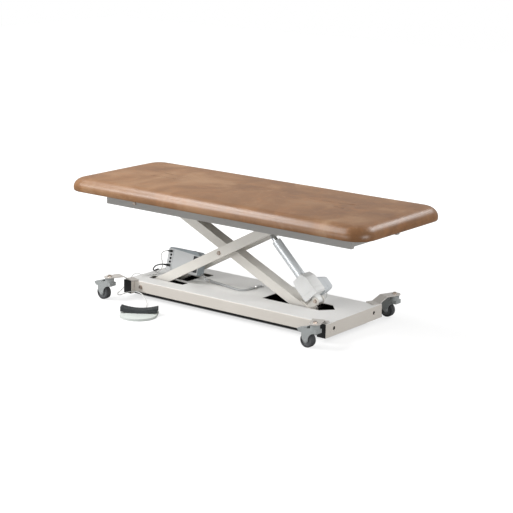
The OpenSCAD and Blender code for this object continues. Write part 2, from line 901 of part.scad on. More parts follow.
module actuator_tube() {
    closed_end = 4;
    nose = 12;
    color([0.85, 0.86, 0.88])
    at_actuator()
        rotate([0, 90, 0])
            difference() {
                translate([0, 0, tube_x0])
                    cylinder(d = tube_d, h = tube_end - tube_x0, $fn = round_fn);
                translate([0, 0, tube_x0 + closed_end])
                    cylinder(d = tube_d - 6, h = tube_end - tube_x0 - closed_end - nose,
                        $fn = round_fn);
                translate([0, 0, tube_end - 2 * nose])
                    cylinder(d = rod_d + 2 * shaft_play, h = 4 * nose, $fn = round_fn);
            }
}

// The rod ends in an eye between the ears of the rod bracket
rod_eye_r = 17;
rod_back_end = tube_x0 + 48;
module actuator_rod() {
    eye_half = ear_gap - 2;
    color([0.88, 0.88, 0.90])
    at_actuator()
        difference() {
            union() {
                rotate([0, 90, 0])
                    translate([0, 0, rod_back_end])
                        cylinder(d = rod_d, h = actuator_len - rod_back_end - 6, $fn = round_fn);
                translate([actuator_len, 0, 0])
                    bar_y(2 * rod_eye_r, -eye_half, eye_half);
            }
            translate([actuator_len, 0, 0])
                bar_y(actuator_pin_d, -60, 60);
        }
}

module rod_pin() {
    half = ear_gap + ear_t + 3;
    color(bolt_colour)
    at_actuator()
        translate([actuator_len, 0, 0])
            bar_y(actuator_pin_d, -half, half);
}

// A tube swept along points, with rings of n sides; frames follow the bends
function unit(v) = v / norm(v);
function tangent(p, i) =
    unit(p[min(i + 1, len(p) - 1)] - p[max(i - 1, 0)]);
function side_of(t, s) = unit(s - (s * t) * t);
function frames(p, i = 0, s = [0, 0, 1], out = []) =
    i == len(p) ? out :
    let (t = tangent(p, i))
    let (bad = abs(unit(s) * t) > 0.999)
    let (u = side_of(t, bad ? [0.3, 1, 0.2] : s))
    frames(p, i + 1, u, concat(out, [[u, cross(t, u)]]));

module swept_tube(p, d, n) {
    f = frames(p);
    skin([for (i = [0:len(p) - 1])
        [for (k = [0:n - 1])
            let (a = 360 * (k + 0.5) / n)
            p[i] + d / 2 * (cos(a) * f[i][0] + sin(a) * f[i][1])]], n);
}

// A smooth curve through route points, each span cut into steps
function spline(a, b, c, d, t) =
    0.5 * (2 * b + (c - a) * t + (2 * a - 5 * b + 4 * c - d) * t * t
        + (3 * b - a - 3 * c + d) * t * t * t);
function smooth(p, steps) = concat([for (i = [0:len(p) - 2], k = [0:steps - 1])
    spline(p[max(i - 1, 0)], p[i], p[i + 1], p[min(i + 2, len(p) - 1)], k / steps)],
    [p[len(p) - 1]]);

// Top frame

module frame_rail(s) {
    color(frame_colour)
    translate([frame_x0, 0, rail_z])
        mirror([0, s < 0 ? 1 : 0, 0])
            difference() {
                span([0, frame_width / 2 - rail_w, 0], [frame_length, frame_width / 2, rail_h]);
                span([rail_t, frame_width / 2 - rail_w - cut, rail_t],
                    [frame_length - rail_t, rail_web_y, rail_h - rail_t]);
                translate([frame_bolt_x - frame_x0, 0, frame_bolt_z - rail_z])
                    bar_y(10 + 2 * shaft_play, 0, frame_width);
            }
}

module frame_rail_near() {
    frame_rail(-1);
}

module frame_rail_far() {
    frame_rail(1);
}

frame_bolt_x = pivot_top[0] + 20;
frame_bolt_z = pivot_top[1] - 30;
rail_inner_y = frame_width / 2 - rail_w;
end_h = rail_h - 8;

// The plates that close the frame between the rails, each with a folded lip
module frame_end() {
    lip = 22;
    lift = board_z - end_h;
    span([rail_t, -rail_inner_y, lift], [2 * rail_t, rail_inner_y, board_z]);
    span([rail_t, -rail_web_y, lift], [2 * rail_t, rail_web_y, board_z - rail_t]);
    span([rail_t, -rail_inner_y, lift], [lip, rail_inner_y, lift + rail_t]);
}

module frame_ends() {
    color(frame_colour) {
        translate([frame_x0, 0, 0])
            frame_end();
        translate([frame_x0 + frame_length, 0, 0])
            mirror([1, 0, 0])
                frame_end();
    }
}

bar_places = [pivot_top[0] - 99, pivot_top[0] + 311, upper_track_x0 - 119,
    upper_track_x1 + 33, frame_x0 + frame_length - 38.5];
bar_w = 40;
bar_h = 26;
bar_wall = 2;
module frame_cross_bars() {
    color(frame_colour)
    for (x = bar_places)
        translate([x, 0, board_z - rail_t - bar_h])
            difference() {
                span([-bar_w / 2, -rail_web_y, 0], [bar_w / 2, rail_web_y, bar_h]);
                span([bar_wall - bar_w / 2, -rail_web_y - cut, bar_wall],
                    [bar_w / 2 - bar_wall, rail_web_y + cut, bar_h - bar_wall]);
            }
}

module upper_roller_tracks() {
    color(frame_colour)
    for (s = [-1, 1])
        roller_track(upper_track_x0, upper_track_x1, s * rail_web_y, track_depth - 1, pivot_far[1]);
}

// The plates inside the rails that carry the upper fixed pivot
bracket_t = 6;
bracket_half = 2.8 * pivot_d;
module pivot_brackets() {
    color(frame_colour)
    for (s = [-1, 1])
        mirror([0, s < 0 ? 1 : 0, 0])
            difference() {
                union() {
                    span([pivot_top[0] - bracket_half, rail_web_y - bracket_t, rail_z + rail_t + play],
                        [pivot_top[0] + bracket_half, rail_web_y, board_z - rail_t - play]);
                    translate([pivot_top[0], 0, pivot_top[1]])
                        bar_y(pivot_d + 12, rail_web_y - 20, rail_web_y - bracket_t);
                }
                translate([pivot_top[0], 0, pivot_top[1]])
                    bar_y(pivot_d + 2 * shaft_play, 0, rail_web_y - 1);
                translate([frame_bolt_x, 0, frame_bolt_z])
                    bar_y(10 + 2 * shaft_play, 0, frame_width);
            }
}

module frame_pivot_shaft() {
    collar = 4;
    color("silver")
    translate([pivot_top[0], 0, pivot_top[1]]) {
        bar_y(pivot_d, -rail_web_y + 1, rail_web_y - 1);
        for (s = [-1, 1])
            translate([0, s * (arm_b_w / 2 + play + collar / 2), 0])
                bar_y(pivot_d + 8, -collar / 2, collar / 2);
    }
}

module frame_bolts() {
    color(bolt_colour)
    for (s = [-1, 1])
        mirror([0, s > 0 ? 1 : 0, 0])
            translate([frame_bolt_x, 0, frame_bolt_z]) {
                bar_y(10, -frame_width / 2, -rail_web_y + bracket_t + 4);
                translate([0, -frame_width / 2, 0])
                    side_bolt_head(16);
                translate([0, -rail_web_y + bracket_t, 0])
                    rotate([-90, 0, 0])
                        cylinder(d = 18, h = 7, $fn = 6);
            }
}

module top_board() {
    color([0.75, 0.62, 0.45])
    translate([pad_mid_x, 0, board_z])
        skin([for (z = [0, board_t]) round_ring(pad_length - 2 * board_inset,
            pad_width - 2 * board_inset, pad_corner_r - board_inset, z, 9)], 36);
}

// The pad: rings of the pad's outline, each drawn in by an inset at a height.
// They run from the recess over the board, round the sides and over the crown.
// Height of the crown above the pad's shoulder, at an inset from its edge
crown_h = 8;
function crown(inset) = pad_h - crown_h * pow(1 - min(inset / 300, 1), 2);
function side(share) = pad_h * share;
pad_rings = [
    [board_inset, board_t], [board_inset, 0], [5, 0], [1.5, side(0.055)], [0, side(0.213)],
    [1.2, side(0.349)], [4, side(0.458)], [9, side(0.573)], [16, side(0.678)],
    [26, side(0.778)], [38, side(0.853)], [50, side(0.893)], [65, crown(65)], [100, crown(100)],
    [150, crown(150)], [220, crown(220)], [300, crown(300)]];

module cushion() {
    color([0.68, 0.52, 0.38])
    translate([pad_mid_x, 0, board_z])
        skin([for (g = pad_rings) round_ring(pad_length - 2 * g[0], pad_width - 2 * g[0],
            max(pad_corner_r - g[0], 12), g[1], 9)], 36);
}

// Control box, leaning back on a bent bracket

box_corner = [-580, -12, base_top_z + 24];
socket_x = 22;
socket_z0 = 27;
socket_step = 19.5;
socket_d = 13;
socket_depth = 10;
socket_count = 5;
plugged = [0, 4];
plug_out = 18;

module at_box() {
    translate(box_corner)
        rotate([-box_lean, 0, 0])
            children();
}

module at_socket(k) {
    at_box()
        translate([socket_x, 0, socket_z0 + socket_step * k])
            children();
}

module control_box() {
    color([0.84, 0.85, 0.85])
    difference() {
        at_box()
            upright(0, box_d)
                polygon([[0, 4], [4, 0], [box_length - 4, 0], [box_length, 4],
                    [box_length, box_h - 26], [box_length - 7, box_h - 10],
                    [box_length - 24, box_h], [12, box_h], [0, box_h - 12]]);
        at_box() {
            span([socket_x + 14, -cut, -cut], [socket_x + 15.5, 1, box_h + cut]);
            span([box_length - 42, -cut, 14], [box_length - 6, 10, box_h - 24]);
        }
        for (k = [0:socket_count - 1])
            at_socket(k)
                bar_y(socket_d + 0.2, -cut, socket_depth);
    }
}

// Black sockets in the left strip of the box's face; two of them hold plugs
module control_sockets() {
    color([0.07, 0.07, 0.07])
    for (k = [0:socket_count - 1])
        at_socket(k)
            if (len(search(k, plugged)) > 0) {
                bar_y(socket_d, -plug_out + 6, socket_depth);
                bar_y(socket_d - 4, -plug_out, 0);
            } else
                difference() {
                    bar_y(socket_d, -1, socket_depth);
                    bar_y(socket_d - 5, -2, socket_depth - 4);
                }
}

// A bent sheet behind the box: its foot on the cover, its back along the box
module control_bracket() {
    t = 2.5;
    side = 20;
    h = box_h - 20;
    foot_y = arm_slot_y0 - 3;
    c = cos(box_lean);
    n = sin(box_lean);
    back_y = box_corner[1] + box_d * c;
    back_z = box_corner[2] - box_d * n;
    bend = (base_top_z + t - back_z + t * n) / c;
    color(steel_colour)
    translate([box_corner[0] + side, 0, 0])
        rotate([90, 0, 90])
            linear_extrude(height = box_length - 2 * side)
                polygon([[back_y + 1, base_top_z], [foot_y, base_top_z],
                    [foot_y, base_top_z + t],
                    [back_y + t * c + bend * n, back_z - t * n + bend * c],
                    [back_y + t * c + h * n, back_z - t * n + h * c],
                    [back_y + h * n, back_z + h * c], [back_y, back_z]]);
}

// Where the plug in socket k ends, and the same point d further out
function plug_end(k, d = 0) = box_corner + [socket_x,
    -(plug_out + d) * cos(box_lean) + (socket_z0 + socket_step * k) * sin(box_lean),
    (plug_out + d) * sin(box_lean) + (socket_z0 + socket_step * k) * cos(box_lean)];

// The actuator's cable, clipped to the base cover and let in through a hole
lead_hole = [-11, 115];
lead_hole_d = lead_d + 16;
lead_route = [[-357.7, 30, 118], [-350, 30, 118], [-339, 28, 114.5], [-327, 23, 107],
    [-312, 17, 102.5], [-296, 12.8, 102], [-280, 9.5, 102], [-217, -1, 102], [-130, -20, 102],
    [-70, -33, 102], [-42, -32, 102], [-22, -12, 102], [-14, 25, 102], [-12, 58, 102],
    [-11, 88, 102], [-11, 98, 102.2], [-11, 106.3, 100.5], [-11, 113.7, 96.4], [-11, 121, 89.2]];
module actuator_lead() {
    color([0.85, 0.83, 0.79])
    swept_tube(smooth(lead_route, 3), lead_d, 10);
}

// Strap clips over the actuator's cable, each as a place and a heading
clip_places = [[-280, 9.5, -9.9], [-12, 58, 87.3]];
module lead_clips() {
    t = 1.5;
    r = lead_d / 2 + 0.5;
    color("silver")
    for (c = clip_places)
        translate([c[0], c[1], base_top_z])
            rotate([0, 0, c[2]])
                rotate([90, 0, 90])
                    translate([0, 0, -5])
                        linear_extrude(height = 10)
                            difference() {
                                union() {
                                    translate([0, lead_d / 2])
                                        circle(r = r + t, $fn = round_fn);
                                    translate([-r - t, 0])
                                        square([2 * (r + t), lead_d / 2]);
                                    translate([-r - 11, 0])
                                        square([2 * r + 22, t]);
                                }
                                translate([0, lead_d / 2])
                                    circle(r = r, $fn = round_fn);
                                translate([-r, -2 * r])
                                    square([2 * r, lead_d / 2 + 2 * r]);
                            }
}

// The motor's cable, down to the inner arm
motor_lead_route = [[428.4, 92, 147.6], [432, 91.3, 138.1], [435, 85.5, 127.3],
    [433, 75, 119.2], [423, 61.7, 114.8], [400, 51, 109.5], [383, 40.5, 108.5], [364, 34.8, 115],
    [355, 32, 119.2], [343, 27, 123.9], [335.4, 23.9, 125.8], [330.7, 21.5, 126.6], [327, 19.8, 127]];
module motor_lead() {
    color([0.85, 0.83, 0.79])
    swept_tube(smooth(motor_lead_route, 3), 6, 8);
}

// Foot pedal, turned towards the near side; x runs along the treadle
pedal_place = [-368, -468, 0];
pedal_turn = 33;
pedal_back_y = 38;
pedal_front_y = -36;
treadle_axis_z = 19;
treadle_pin_d = 8;
treadle_half = 97;
rib_half = [6, 20];
rib_top = 24.5;

module at_pedal() {
    translate(pedal_place)
        rotate([0, 0, pedal_turn])
            children();
}

module pedal_base() {
    color([0.90, 0.93, 0.90])
    at_pedal() {
        linear_extrude(height = pedal_t) {
            intersection() {
                translate([0, pedal_front_y])
                    circle(r = pedal_r, $fn = 64);
                translate([-pedal_r, pedal_front_y - pedal_r])
                    square([2 * pedal_r, pedal_r]);
            }
            translate([-pedal_r, pedal_front_y])
                square([2 * pedal_r, pedal_back_y - pedal_front_y]);
        }
        difference() {
            span([-rib_half[0], -rib_half[1], pedal_t - 1], [rib_half[0], rib_half[1], rib_top]);
            translate([0, 0, treadle_axis_z])
                bar_y(treadle_pin_d + 2 * shaft_play, -rib_half[1] - cut, rib_half[1] + cut);
        }
    }
}

// The rocking treadle: dished on top, its underside rising to both ends
module pedal_treadle() {
    half = treadle_depth / 2;
    slot = rib_half + [1.6, 0.4];
    color([0.16, 0.18, 0.19])
    at_pedal() {
        difference() {
            upright(-half, half)
                polygon(concat([[-8, 13], [8, 13], [treadle_half, 20]],
                    [for (k = [0:12])
                        let (x = treadle_half * (1 - k / 6))
                        [x, 29 + 15 * pow(x / treadle_half, 2)]],
                    [[-treadle_half, 20]]));
            span([-slot[0], -slot[1], 0], [slot[0], slot[1], rib_top + 2]);
        }
        translate([0, 0, treadle_axis_z])
            bar_y(treadle_pin_d, -slot[1] - 1, slot[1] + 1);
    }
}

// The pedal's cable: over the floor, round the base's end and up to its plug
pedal_cable_route = [[-378.5, -430, 6], [-386, -418, 5], [-400, -392, 3], [-418, -360, 3],
    [-440, -328, 3], [-465, -299, 9], [-500, -275, 26], [-540, -265, 42], [-590, -264, 44],
    [-640, -266, 28], [-680, -266, 10], [-712, -258, 4], [-733, -236, 3], [-740, -206, 8],
    [-730, -176, 34], [-710, -156, 74], [-690, -146, 101], [-668, -140, 107], [-645, -134, 101],
    [-627, -122, 99], [-615, -100, 99], [-607, -78, 99], [-602, -56, 100], [-602, -37, 113.4],
    [-593.2, -23.4, 136.6], [-593, -26, 166], [-595, -31, 196], [-588, -37, 212],
    [-576, -35.5, 225], [-564, -26.3, 230]];
pedal_plug = 4;
module pedal_cable() {
    color([0.88, 0.88, 0.87])
    swept_tube(smooth(concat(pedal_cable_route,
        [plug_end(pedal_plug, 12), plug_end(pedal_plug)]), 3), pedal_cable_d, 8);
}

// The mains cord: from its plug in the box, over the base's end, to the coil
coil_centre = [-430, 335];
coil_pitch = mains_d + 0.6;
coil_outer_r = coil_inner_r + coil_pitch * coil_turns / 2;
coil_z = mains_d / 2 + 0.1;
mains_start = [coil_centre[0] - 20, coil_centre[1] - coil_outer_r, coil_z];
mains_route = [[-560.7, -47.7, 158], [-569.1, -61, 159.6], [-583.6, -71.5, 156],
    [-600.4, -73.5, 147], [-617, -65.5, 134.5], [-634, -53, 120.5], [-648, -34, 108],
    [-658, -12, 101.3], [-664, 10, 100.1], [-672, 32, 97.4], [-683, 56, 87], [-693, 82, 69],
    [-701, 110, 48], [-706, 142, 27], [-705, 174, 12], [-697, 205, 5], [-676, 232, 4],
    [-645, 250, 4], [-605, 262, 4], [-560, 270, 4], [-515, 276, 4]];
mains_socket = 0;
module mains_lead() {
    color([0.07, 0.07, 0.07])
    swept_tube(smooth(concat([plug_end(mains_socket), plug_end(mains_socket, 12)], mains_route,
        [mains_start - [30, 0, 0], mains_start]), 3), mains_d, 8);
}

// The coil: an inward spiral on the floor, then an outward one lying on it
coil_steps = 24;
function coil_point(t) =
    let (u = t - coil_turns / 2)
    let (r = coil_inner_r + coil_pitch * abs(u))
    let (a = 360 * t - 90)
    [coil_centre[0] + r * cos(a), coil_centre[1] + r * sin(a),
     coil_z + coil_pitch * min(max(4 * u + 0.5, 0), 1)];
coil_path = concat([mains_start],
    [for (i = [0:coil_steps * coil_turns]) coil_point(i / coil_steps)],
    [for (k = [1:4]) coil_point(coil_turns) + [14 * k, 0, 0.8 * k]]);
mains_end = coil_path[len(coil_path) - 1];

function coil_gap() = min([for (i = [0:4:len(coil_path) - 1])
    min([for (j = [0:len(coil_path) - 1])
        if (abs(i - j) > 6) norm(coil_path[i] - coil_path[j])])]) - mains_d;
echo(least_gap_of_the_coil = coil_gap());

module mains_coil() {
    color([0.07, 0.07, 0.07])
    swept_tube(coil_path, mains_d, 6);
}

// A plain two-pin plug on the cord's end
module mains_plug() {
    plug_r = 14;
    plug_len = 40;
    color([0.07, 0.07, 0.07])
    translate([mains_end[0], mains_end[1], mains_end[2]])
        rotate([0, 90, 0]) {
            rotate_extrude($fn = round_fn)
                polygon([[0, 0], [5, 0], [7, 8], [plug_r - 2, 14], [plug_r, 18],
                    [plug_r, plug_len], [0, plug_len]]);
            for (s = [-1, 1])
                translate([0, 9.5 * s, plug_len])
                    cylinder(d = 4.8, h = 19, $fn = 24);
        }
}

base_cover();
base_pan();
lower_roller_tracks();
crossmember_left();
crossmember_right();
crossmember_caps();
castor_arms();
castor_bolts();
base_pivot_shaft();
castor_fork(0);  // castor_1_fork
castor_wheel(0);  // castor_1_wheel
castor_brake(0);  // castor_1_brake
castor_fork(1);  // castor_2_fork
castor_wheel(1);  // castor_2_wheel
castor_brake(1);  // castor_2_brake
castor_fork(2);  // castor_3_fork
castor_wheel(2);  // castor_3_wheel
castor_brake(2);  // castor_3_brake
castor_fork(3);  // castor_4_fork
castor_wheel(3);  // castor_4_wheel
castor_brake(3);  // castor_4_brake
outer_arm_near();
outer_arm_far();
outer_arm_cross_tubes();
rod_bracket();
centre_pivot_shaft();
upper_axle();
upper_rollers();
inner_arm();
lower_axle();
lower_rollers();
clevis_bracket();
clevis_pin();
gear_housing();
motor_housing();
actuator_tube();
motor_lead();
actuator_rod();
rod_pin();
frame_rail_near();
frame_rail_far();
frame_ends();
frame_cross_bars();
upper_roller_tracks();
pivot_brackets();
frame_pivot_shaft();
frame_bolts();
top_board();
cushion();
control_box();
control_sockets();
control_bracket();
actuator_lead();
lead_clips();
pedal_base();
pedal_treadle();
pedal_cable();
mains_lead();
mains_coil();
mains_plug();
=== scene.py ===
"""Looks for the height-adjustable examination table: camera, cords, materials, pad and studio.

Metres, +Z up, +X along the table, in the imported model's own frame.
"""
import math

import bmesh
import bpy
from mathutils import Matrix, Vector, noise


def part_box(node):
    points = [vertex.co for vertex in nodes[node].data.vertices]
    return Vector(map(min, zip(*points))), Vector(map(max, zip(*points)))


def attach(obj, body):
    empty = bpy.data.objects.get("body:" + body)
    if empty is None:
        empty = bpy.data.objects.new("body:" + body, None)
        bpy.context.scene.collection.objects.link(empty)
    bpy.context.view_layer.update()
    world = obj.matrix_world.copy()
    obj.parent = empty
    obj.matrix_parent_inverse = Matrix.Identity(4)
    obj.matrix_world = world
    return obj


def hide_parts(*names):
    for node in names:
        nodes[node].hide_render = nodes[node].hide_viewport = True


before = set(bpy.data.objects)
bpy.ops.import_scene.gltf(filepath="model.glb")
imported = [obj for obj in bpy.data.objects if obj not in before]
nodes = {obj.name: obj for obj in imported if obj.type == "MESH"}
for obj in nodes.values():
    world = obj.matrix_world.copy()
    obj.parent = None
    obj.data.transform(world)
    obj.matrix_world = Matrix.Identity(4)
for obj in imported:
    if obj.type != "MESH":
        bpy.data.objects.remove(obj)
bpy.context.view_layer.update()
MM = 0.001


def mm(*values):
    """A point in millimetres as one in metres."""
    return Vector([v * MM for v in values])


# Camera, at the photo's viewing angle

CAMERA_PLACE = (4.8143, -6.3112, 2.2444)
CAMERA_YAW = 37.115
CAMERA_PITCH = 13.859
CAMERA_ROLL = 1.087
CAMERA_LENS = 108.69
CAMERA_SENSOR = 36.0


def add_camera():
    yaw, pitch, roll = (math.radians(a) for a in (CAMERA_YAW, CAMERA_PITCH, CAMERA_ROLL))
    ahead = Vector((-math.sin(yaw) * math.cos(pitch), math.cos(yaw) * math.cos(pitch),
                    -math.sin(pitch)))
    level_right = Vector((math.cos(yaw), math.sin(yaw), 0))
    level_up = level_right.cross(ahead)
    right = level_right * math.cos(roll) + level_up * math.sin(roll)
    up = level_up * math.cos(roll) - level_right * math.sin(roll)
    data = bpy.data.cameras.new("camera")
    data.lens = CAMERA_LENS
    data.sensor_width = CAMERA_SENSOR
    data.clip_end = 60
    camera = bpy.data.objects.new("camera", data)
    turn = Matrix((right, up, -ahead)).transposed().to_4x4()
    camera.matrix_world = Matrix.Translation(CAMERA_PLACE) @ turn
    bpy.context.scene.collection.objects.link(camera)
    bpy.context.scene.camera = camera


add_camera()


# Mesh helpers

def new_object(name, bm, smooth=True):
    mesh = bpy.data.meshes.new(name)
    bm.to_mesh(mesh)
    bm.free()
    for face in mesh.polygons:
        face.use_smooth = smooth
    piece = bpy.data.objects.new(name, mesh)
    bpy.context.scene.collection.objects.link(piece)
    return piece


def curve_through(points, steps):
    """A smooth curve through points, each span cut into steps."""
    last = len(points) - 1
    out = []
    for i in range(last):
        a, b, c, d = (points[max(i - 1, 0)], points[i], points[i + 1], points[min(i + 2, last)])
        for k in range(steps):
            t = k / steps
            out.append(0.5 * (2 * b + (c - a) * t + (2 * a - 5 * b + 4 * c - d) * t * t
                              + (3 * b - a - 3 * c + d) * t ** 3))
    out.append(points[last].copy())
    return out


def join_rings(bm, rings):
    """Faces between each ring of vertices and the next one."""
    for low, high in zip(rings, rings[1:]):
        count = len(low)
        for k in range(count):
            bm.faces.new((low[k], low[(k + 1) % count], high[(k + 1) % count], high[k]))


def close_ends(bm, rings):
    bm.faces.new(reversed(rings[0]))
    bm.faces.new(rings[-1])
    bmesh.ops.recalc_face_normals(bm, faces=bm.faces)


def swept_rings(path):
    """For each point of a path, its place and two directions across it that don't twist."""
    rings = []
    across = None
    for i, point in enumerate(path):
        along = (path[min(i + 1, len(path) - 1)] - path[max(i - 1, 0)]).normalized()
        if across is None:
            across = along.orthogonal().normalized()
        across = (across - along * across.dot(along)).normalized()
        rings.append((point, across, along.cross(across)))
    return rings


def tube(name, path, radius, sides=16):
    """A closed round tube; radius is one number, or a function of the place on the path, 0 to 1."""
    bm = bmesh.new()
    rings = []
    for i, (point, u, v) in enumerate(swept_rings(path)):
        r = radius(i / (len(path) - 1)) if callable(radius) else radius
        rings.append([bm.verts.new(point + r * (math.cos(a) * u + math.sin(a) * v))
                      for a in (math.tau * k / sides for k in range(sides))])
    join_rings(bm, rings)
    close_ends(bm, rings)
    return new_object(name, bm)


# Cords: the routes are those of the solids

BOX_CORNER = mm(-580, -12, 120)
BOX_LEAN = math.radians(15)
SOCKET_X = 0.022
SOCKET_Z0 = 0.027
SOCKET_STEP = 0.0195
PLUG_OUT = 0.018
PLUG_STRAIGHT = 0.012


def at_box(x, y, z):
    """A point given in the control box's own leaning frame."""
    c, s = math.cos(BOX_LEAN), math.sin(BOX_LEAN)
    return BOX_CORNER + Vector((x, y * c + z * s, z * c - y * s))


def plug_end(socket, further=0.0):
    return at_box(SOCKET_X, -(PLUG_OUT + further), SOCKET_Z0 + SOCKET_STEP * socket)


PEDAL_CABLE = 0.005
PEDAL_RELIEF_LENGTH = 0.018
PEDAL_RELIEF_ROOT = 0.0044
PEDAL_SOCKET = 4
PEDAL_ROUTE = [
    (-378.5, -430, 6), (-386, -418, 5), (-400, -392, 3), (-418, -360, 3), (-440, -328, 3),
    (-465, -299, 9), (-500, -275, 26), (-540, -265, 42), (-590, -264, 44), (-640, -266, 28),
    (-680, -266, 10), (-712, -258, 4), (-733, -236, 3), (-740, -206, 8), (-730, -176, 34),
    (-710, -156, 74), (-690, -146, 101), (-668, -140, 107), (-645, -134, 101), (-627, -122, 99),
    (-615, -100, 99), (-607, -78, 99), (-602, -56, 100), (-602, -37, 113.4), (-593.2, -23.4, 136.6),
    (-593, -26, 166), (-595, -31, 196), (-588, -37, 212), (-576, -35.5, 225), (-564, -26.3, 230)]

MAINS_CORD = 0.007
MAINS_RELIEF_LENGTH = 0.030
MAINS_RELIEF_ROOT = 0.0058
MAINS_SOCKET = 0
MAINS_ROUTE = [
    (-560.7, -47.7, 158), (-569.1, -61, 159.6), (-583.6, -71.5, 156), (-600.4, -73.5, 147),
    (-617, -65.5, 134.5), (-634, -53, 120.5), (-648, -34, 108), (-658, -12, 101.3), (-664, 10, 100.1),
    (-672, 32, 97.4), (-683, 56, 87), (-693, 82, 69), (-701, 110, 48), (-706, 142, 27),
    (-705, 174, 12), (-697, 205, 5), (-676, 232, 4), (-645, 250, 4), (-605, 262, 4),
    (-560, 270, 4), (-515, 276, 4)]

# The coil, in millimetres
COIL_CENTRE = (-430, 335)
COIL_INNER = 30
COIL_PITCH = 7.6
COIL_TURNS = 7
COIL_Z = 3.6
COIL_STEPS = 24
COIL_RISE = 4
TAIL_STEP = 14
TAIL_RISE = 0.8
TAIL_POINTS = 4
RUN_IN = 20
RUN_IN_BEFORE = 30


def coil_points():
    """An inward spiral on the floor, then an outward one lying on it, then a straight end."""
    points = []
    for i in range(COIL_STEPS * COIL_TURNS + 1):
        turn = i / COIL_STEPS
        out = turn - COIL_TURNS / 2
        r = COIL_INNER + COIL_PITCH * abs(out)
        a = math.tau * turn - math.pi / 2
        lift = min(max(COIL_RISE * out + 0.5, 0), 1)
        points.append(mm(COIL_CENTRE[0] + r * math.cos(a), COIL_CENTRE[1] + r * math.sin(a),
                         COIL_Z + COIL_PITCH * lift))
    end = points[-1]
    points += [end + mm(TAIL_STEP * k, 0, TAIL_RISE * k) for k in range(1, TAIL_POINTS + 1)]
    return points


CONDUIT = 0.012
CONDUIT_RIB = 0.0032
CONDUIT_GROOVE = (0.0, 0.0002, 0.0007, 0.0002)
CONDUIT_ROUTE = [
    (-357.7, 30, 118), (-350, 30, 118), (-339, 28, 114.5), (-327, 23, 107), (-312, 17, 102.5),
    (-296, 12.8, 102), (-280, 9.5, 102), (-217, -1, 102), (-130, -20, 102), (-70, -33, 102),
    (-42, -32, 102), (-22, -12, 102), (-14, 25, 102), (-12, 58, 102), (-11, 88, 102),
    (-11, 98, 102.2), (-11, 106.3, 100.5), (-11, 113.7, 96.4), (-11, 121, 89.2)]


def even_path(path, step):
    """The same path with its points a step apart."""
    out = [path[0].copy()]
    left = step
    for a, b in zip(path, path[1:]):
        length = (b - a).length
        done = 0.0
        while length - done >= left:
            done += left
            out.append(a.lerp(b, done / length))
            left = step
        left -= length - done
    return out


RELIEF_STEP = 0.0006
RELIEF_RIB_HEIGHT = 0.00035
RELIEF_RIB_PITCH = 0.0034
RELIEF_WALL = 0.0005


def strain_relief(name, path, length, cord, root):
    """A tapered, ribbed sleeve over the first stretch of a cord; root is its radius at the housing."""
    whole = even_path(path, RELIEF_STEP)[:int(length / RELIEF_STEP)]
    tip = cord / 2 + RELIEF_WALL

    def radius(t):
        wave = math.sin(math.tau * t * length / RELIEF_RIB_PITCH)
        return root + (tip - root) * t + RELIEF_RIB_HEIGHT * max(wave, 0) * (1 - t)

    return tube(name, whole, radius, 20)


def add_pedal_cable():
    points = [mm(*p) for p in PEDAL_ROUTE] + [plug_end(PEDAL_SOCKET, PLUG_STRAIGHT),
                                            plug_end(PEDAL_SOCKET)]
    path = curve_through(points, 6)
    cable = tube("pedal_cord", path, PEDAL_CABLE / 2, 12)
    relief = strain_relief("pedal_cord_relief", path[::-1], PEDAL_RELIEF_LENGTH, PEDAL_CABLE,
                           PEDAL_RELIEF_ROOT)
    for piece in (cable, relief):
        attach(piece, "base")
    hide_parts("pedal_cable")
    return cable, relief


# The tie's strap, in millimetres
TIE_WIDTH = 9
TIE_WALL = 0.9
TIE_SLACK = 1.0
TIE_BOTTOM = 0.05
TIE_TOP = COIL_Z + COIL_PITCH + 4.9
TIE_SIDES = 40


def add_coil_tie():
    """A strap round the coil's turns, on the side that looks to the table."""
    half_r = (COIL_PITCH * COIL_TURNS / 2 + MAINS_CORD / MM) / 2 + TIE_SLACK
    half_h = (TIE_TOP - TIE_BOTTOM) / 2
    middle_r = COIL_INNER + COIL_PITCH * COIL_TURNS / 4
    middle_z = (TIE_BOTTOM + TIE_TOP) / 2
    loop = []
    for k in range(TIE_SIDES):
        a = math.tau * k / TIE_SIDES
        loop.append((half_r * max(-1, min(1, 1.25 * math.cos(a))),
                     half_h * max(-1, min(1, 1.35 * math.sin(a)))))
    edge = TIE_WIDTH / 2
    bm = bmesh.new()
    rings = []
    for side, grow in ((-edge, 0), (-edge, TIE_WALL), (edge, TIE_WALL), (edge, 0)):
        ring = []
        for across, up in loop:
            away = Vector((across, up)).normalized()
            ring.append(bm.verts.new(mm(COIL_CENTRE[0] + side,
                                        COIL_CENTRE[1] + middle_r + across + grow * away.x,
                                        max(middle_z + up + grow * away.y, 0.0))))
        rings.append(ring)
    join_rings(bm, rings + rings[:1])
    bmesh.ops.recalc_face_normals(bm, faces=bm.faces)
    return new_object("coil_tie", bm)


def add_mains_cord():
    coil = coil_points()
    start = coil[0] - mm(RUN_IN, 0, 0)
    lead = [plug_end(MAINS_SOCKET), plug_end(MAINS_SOCKET, PLUG_STRAIGHT)]
    lead += [mm(*p) for p in MAINS_ROUTE]
    lead += [start - mm(RUN_IN_BEFORE, 0, 0), start]
    path = curve_through(lead, 5) + coil
    cord = tube("mains_cord", path, MAINS_CORD / 2, 12)
    relief = strain_relief("mains_cord_relief", path, MAINS_RELIEF_LENGTH, MAINS_CORD,
                           MAINS_RELIEF_ROOT)
    tie = add_coil_tie()
    for piece in (cord, relief, tie):
        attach(piece, "base")
    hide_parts("mains_lead", "mains_coil")
    return cord, relief, tie


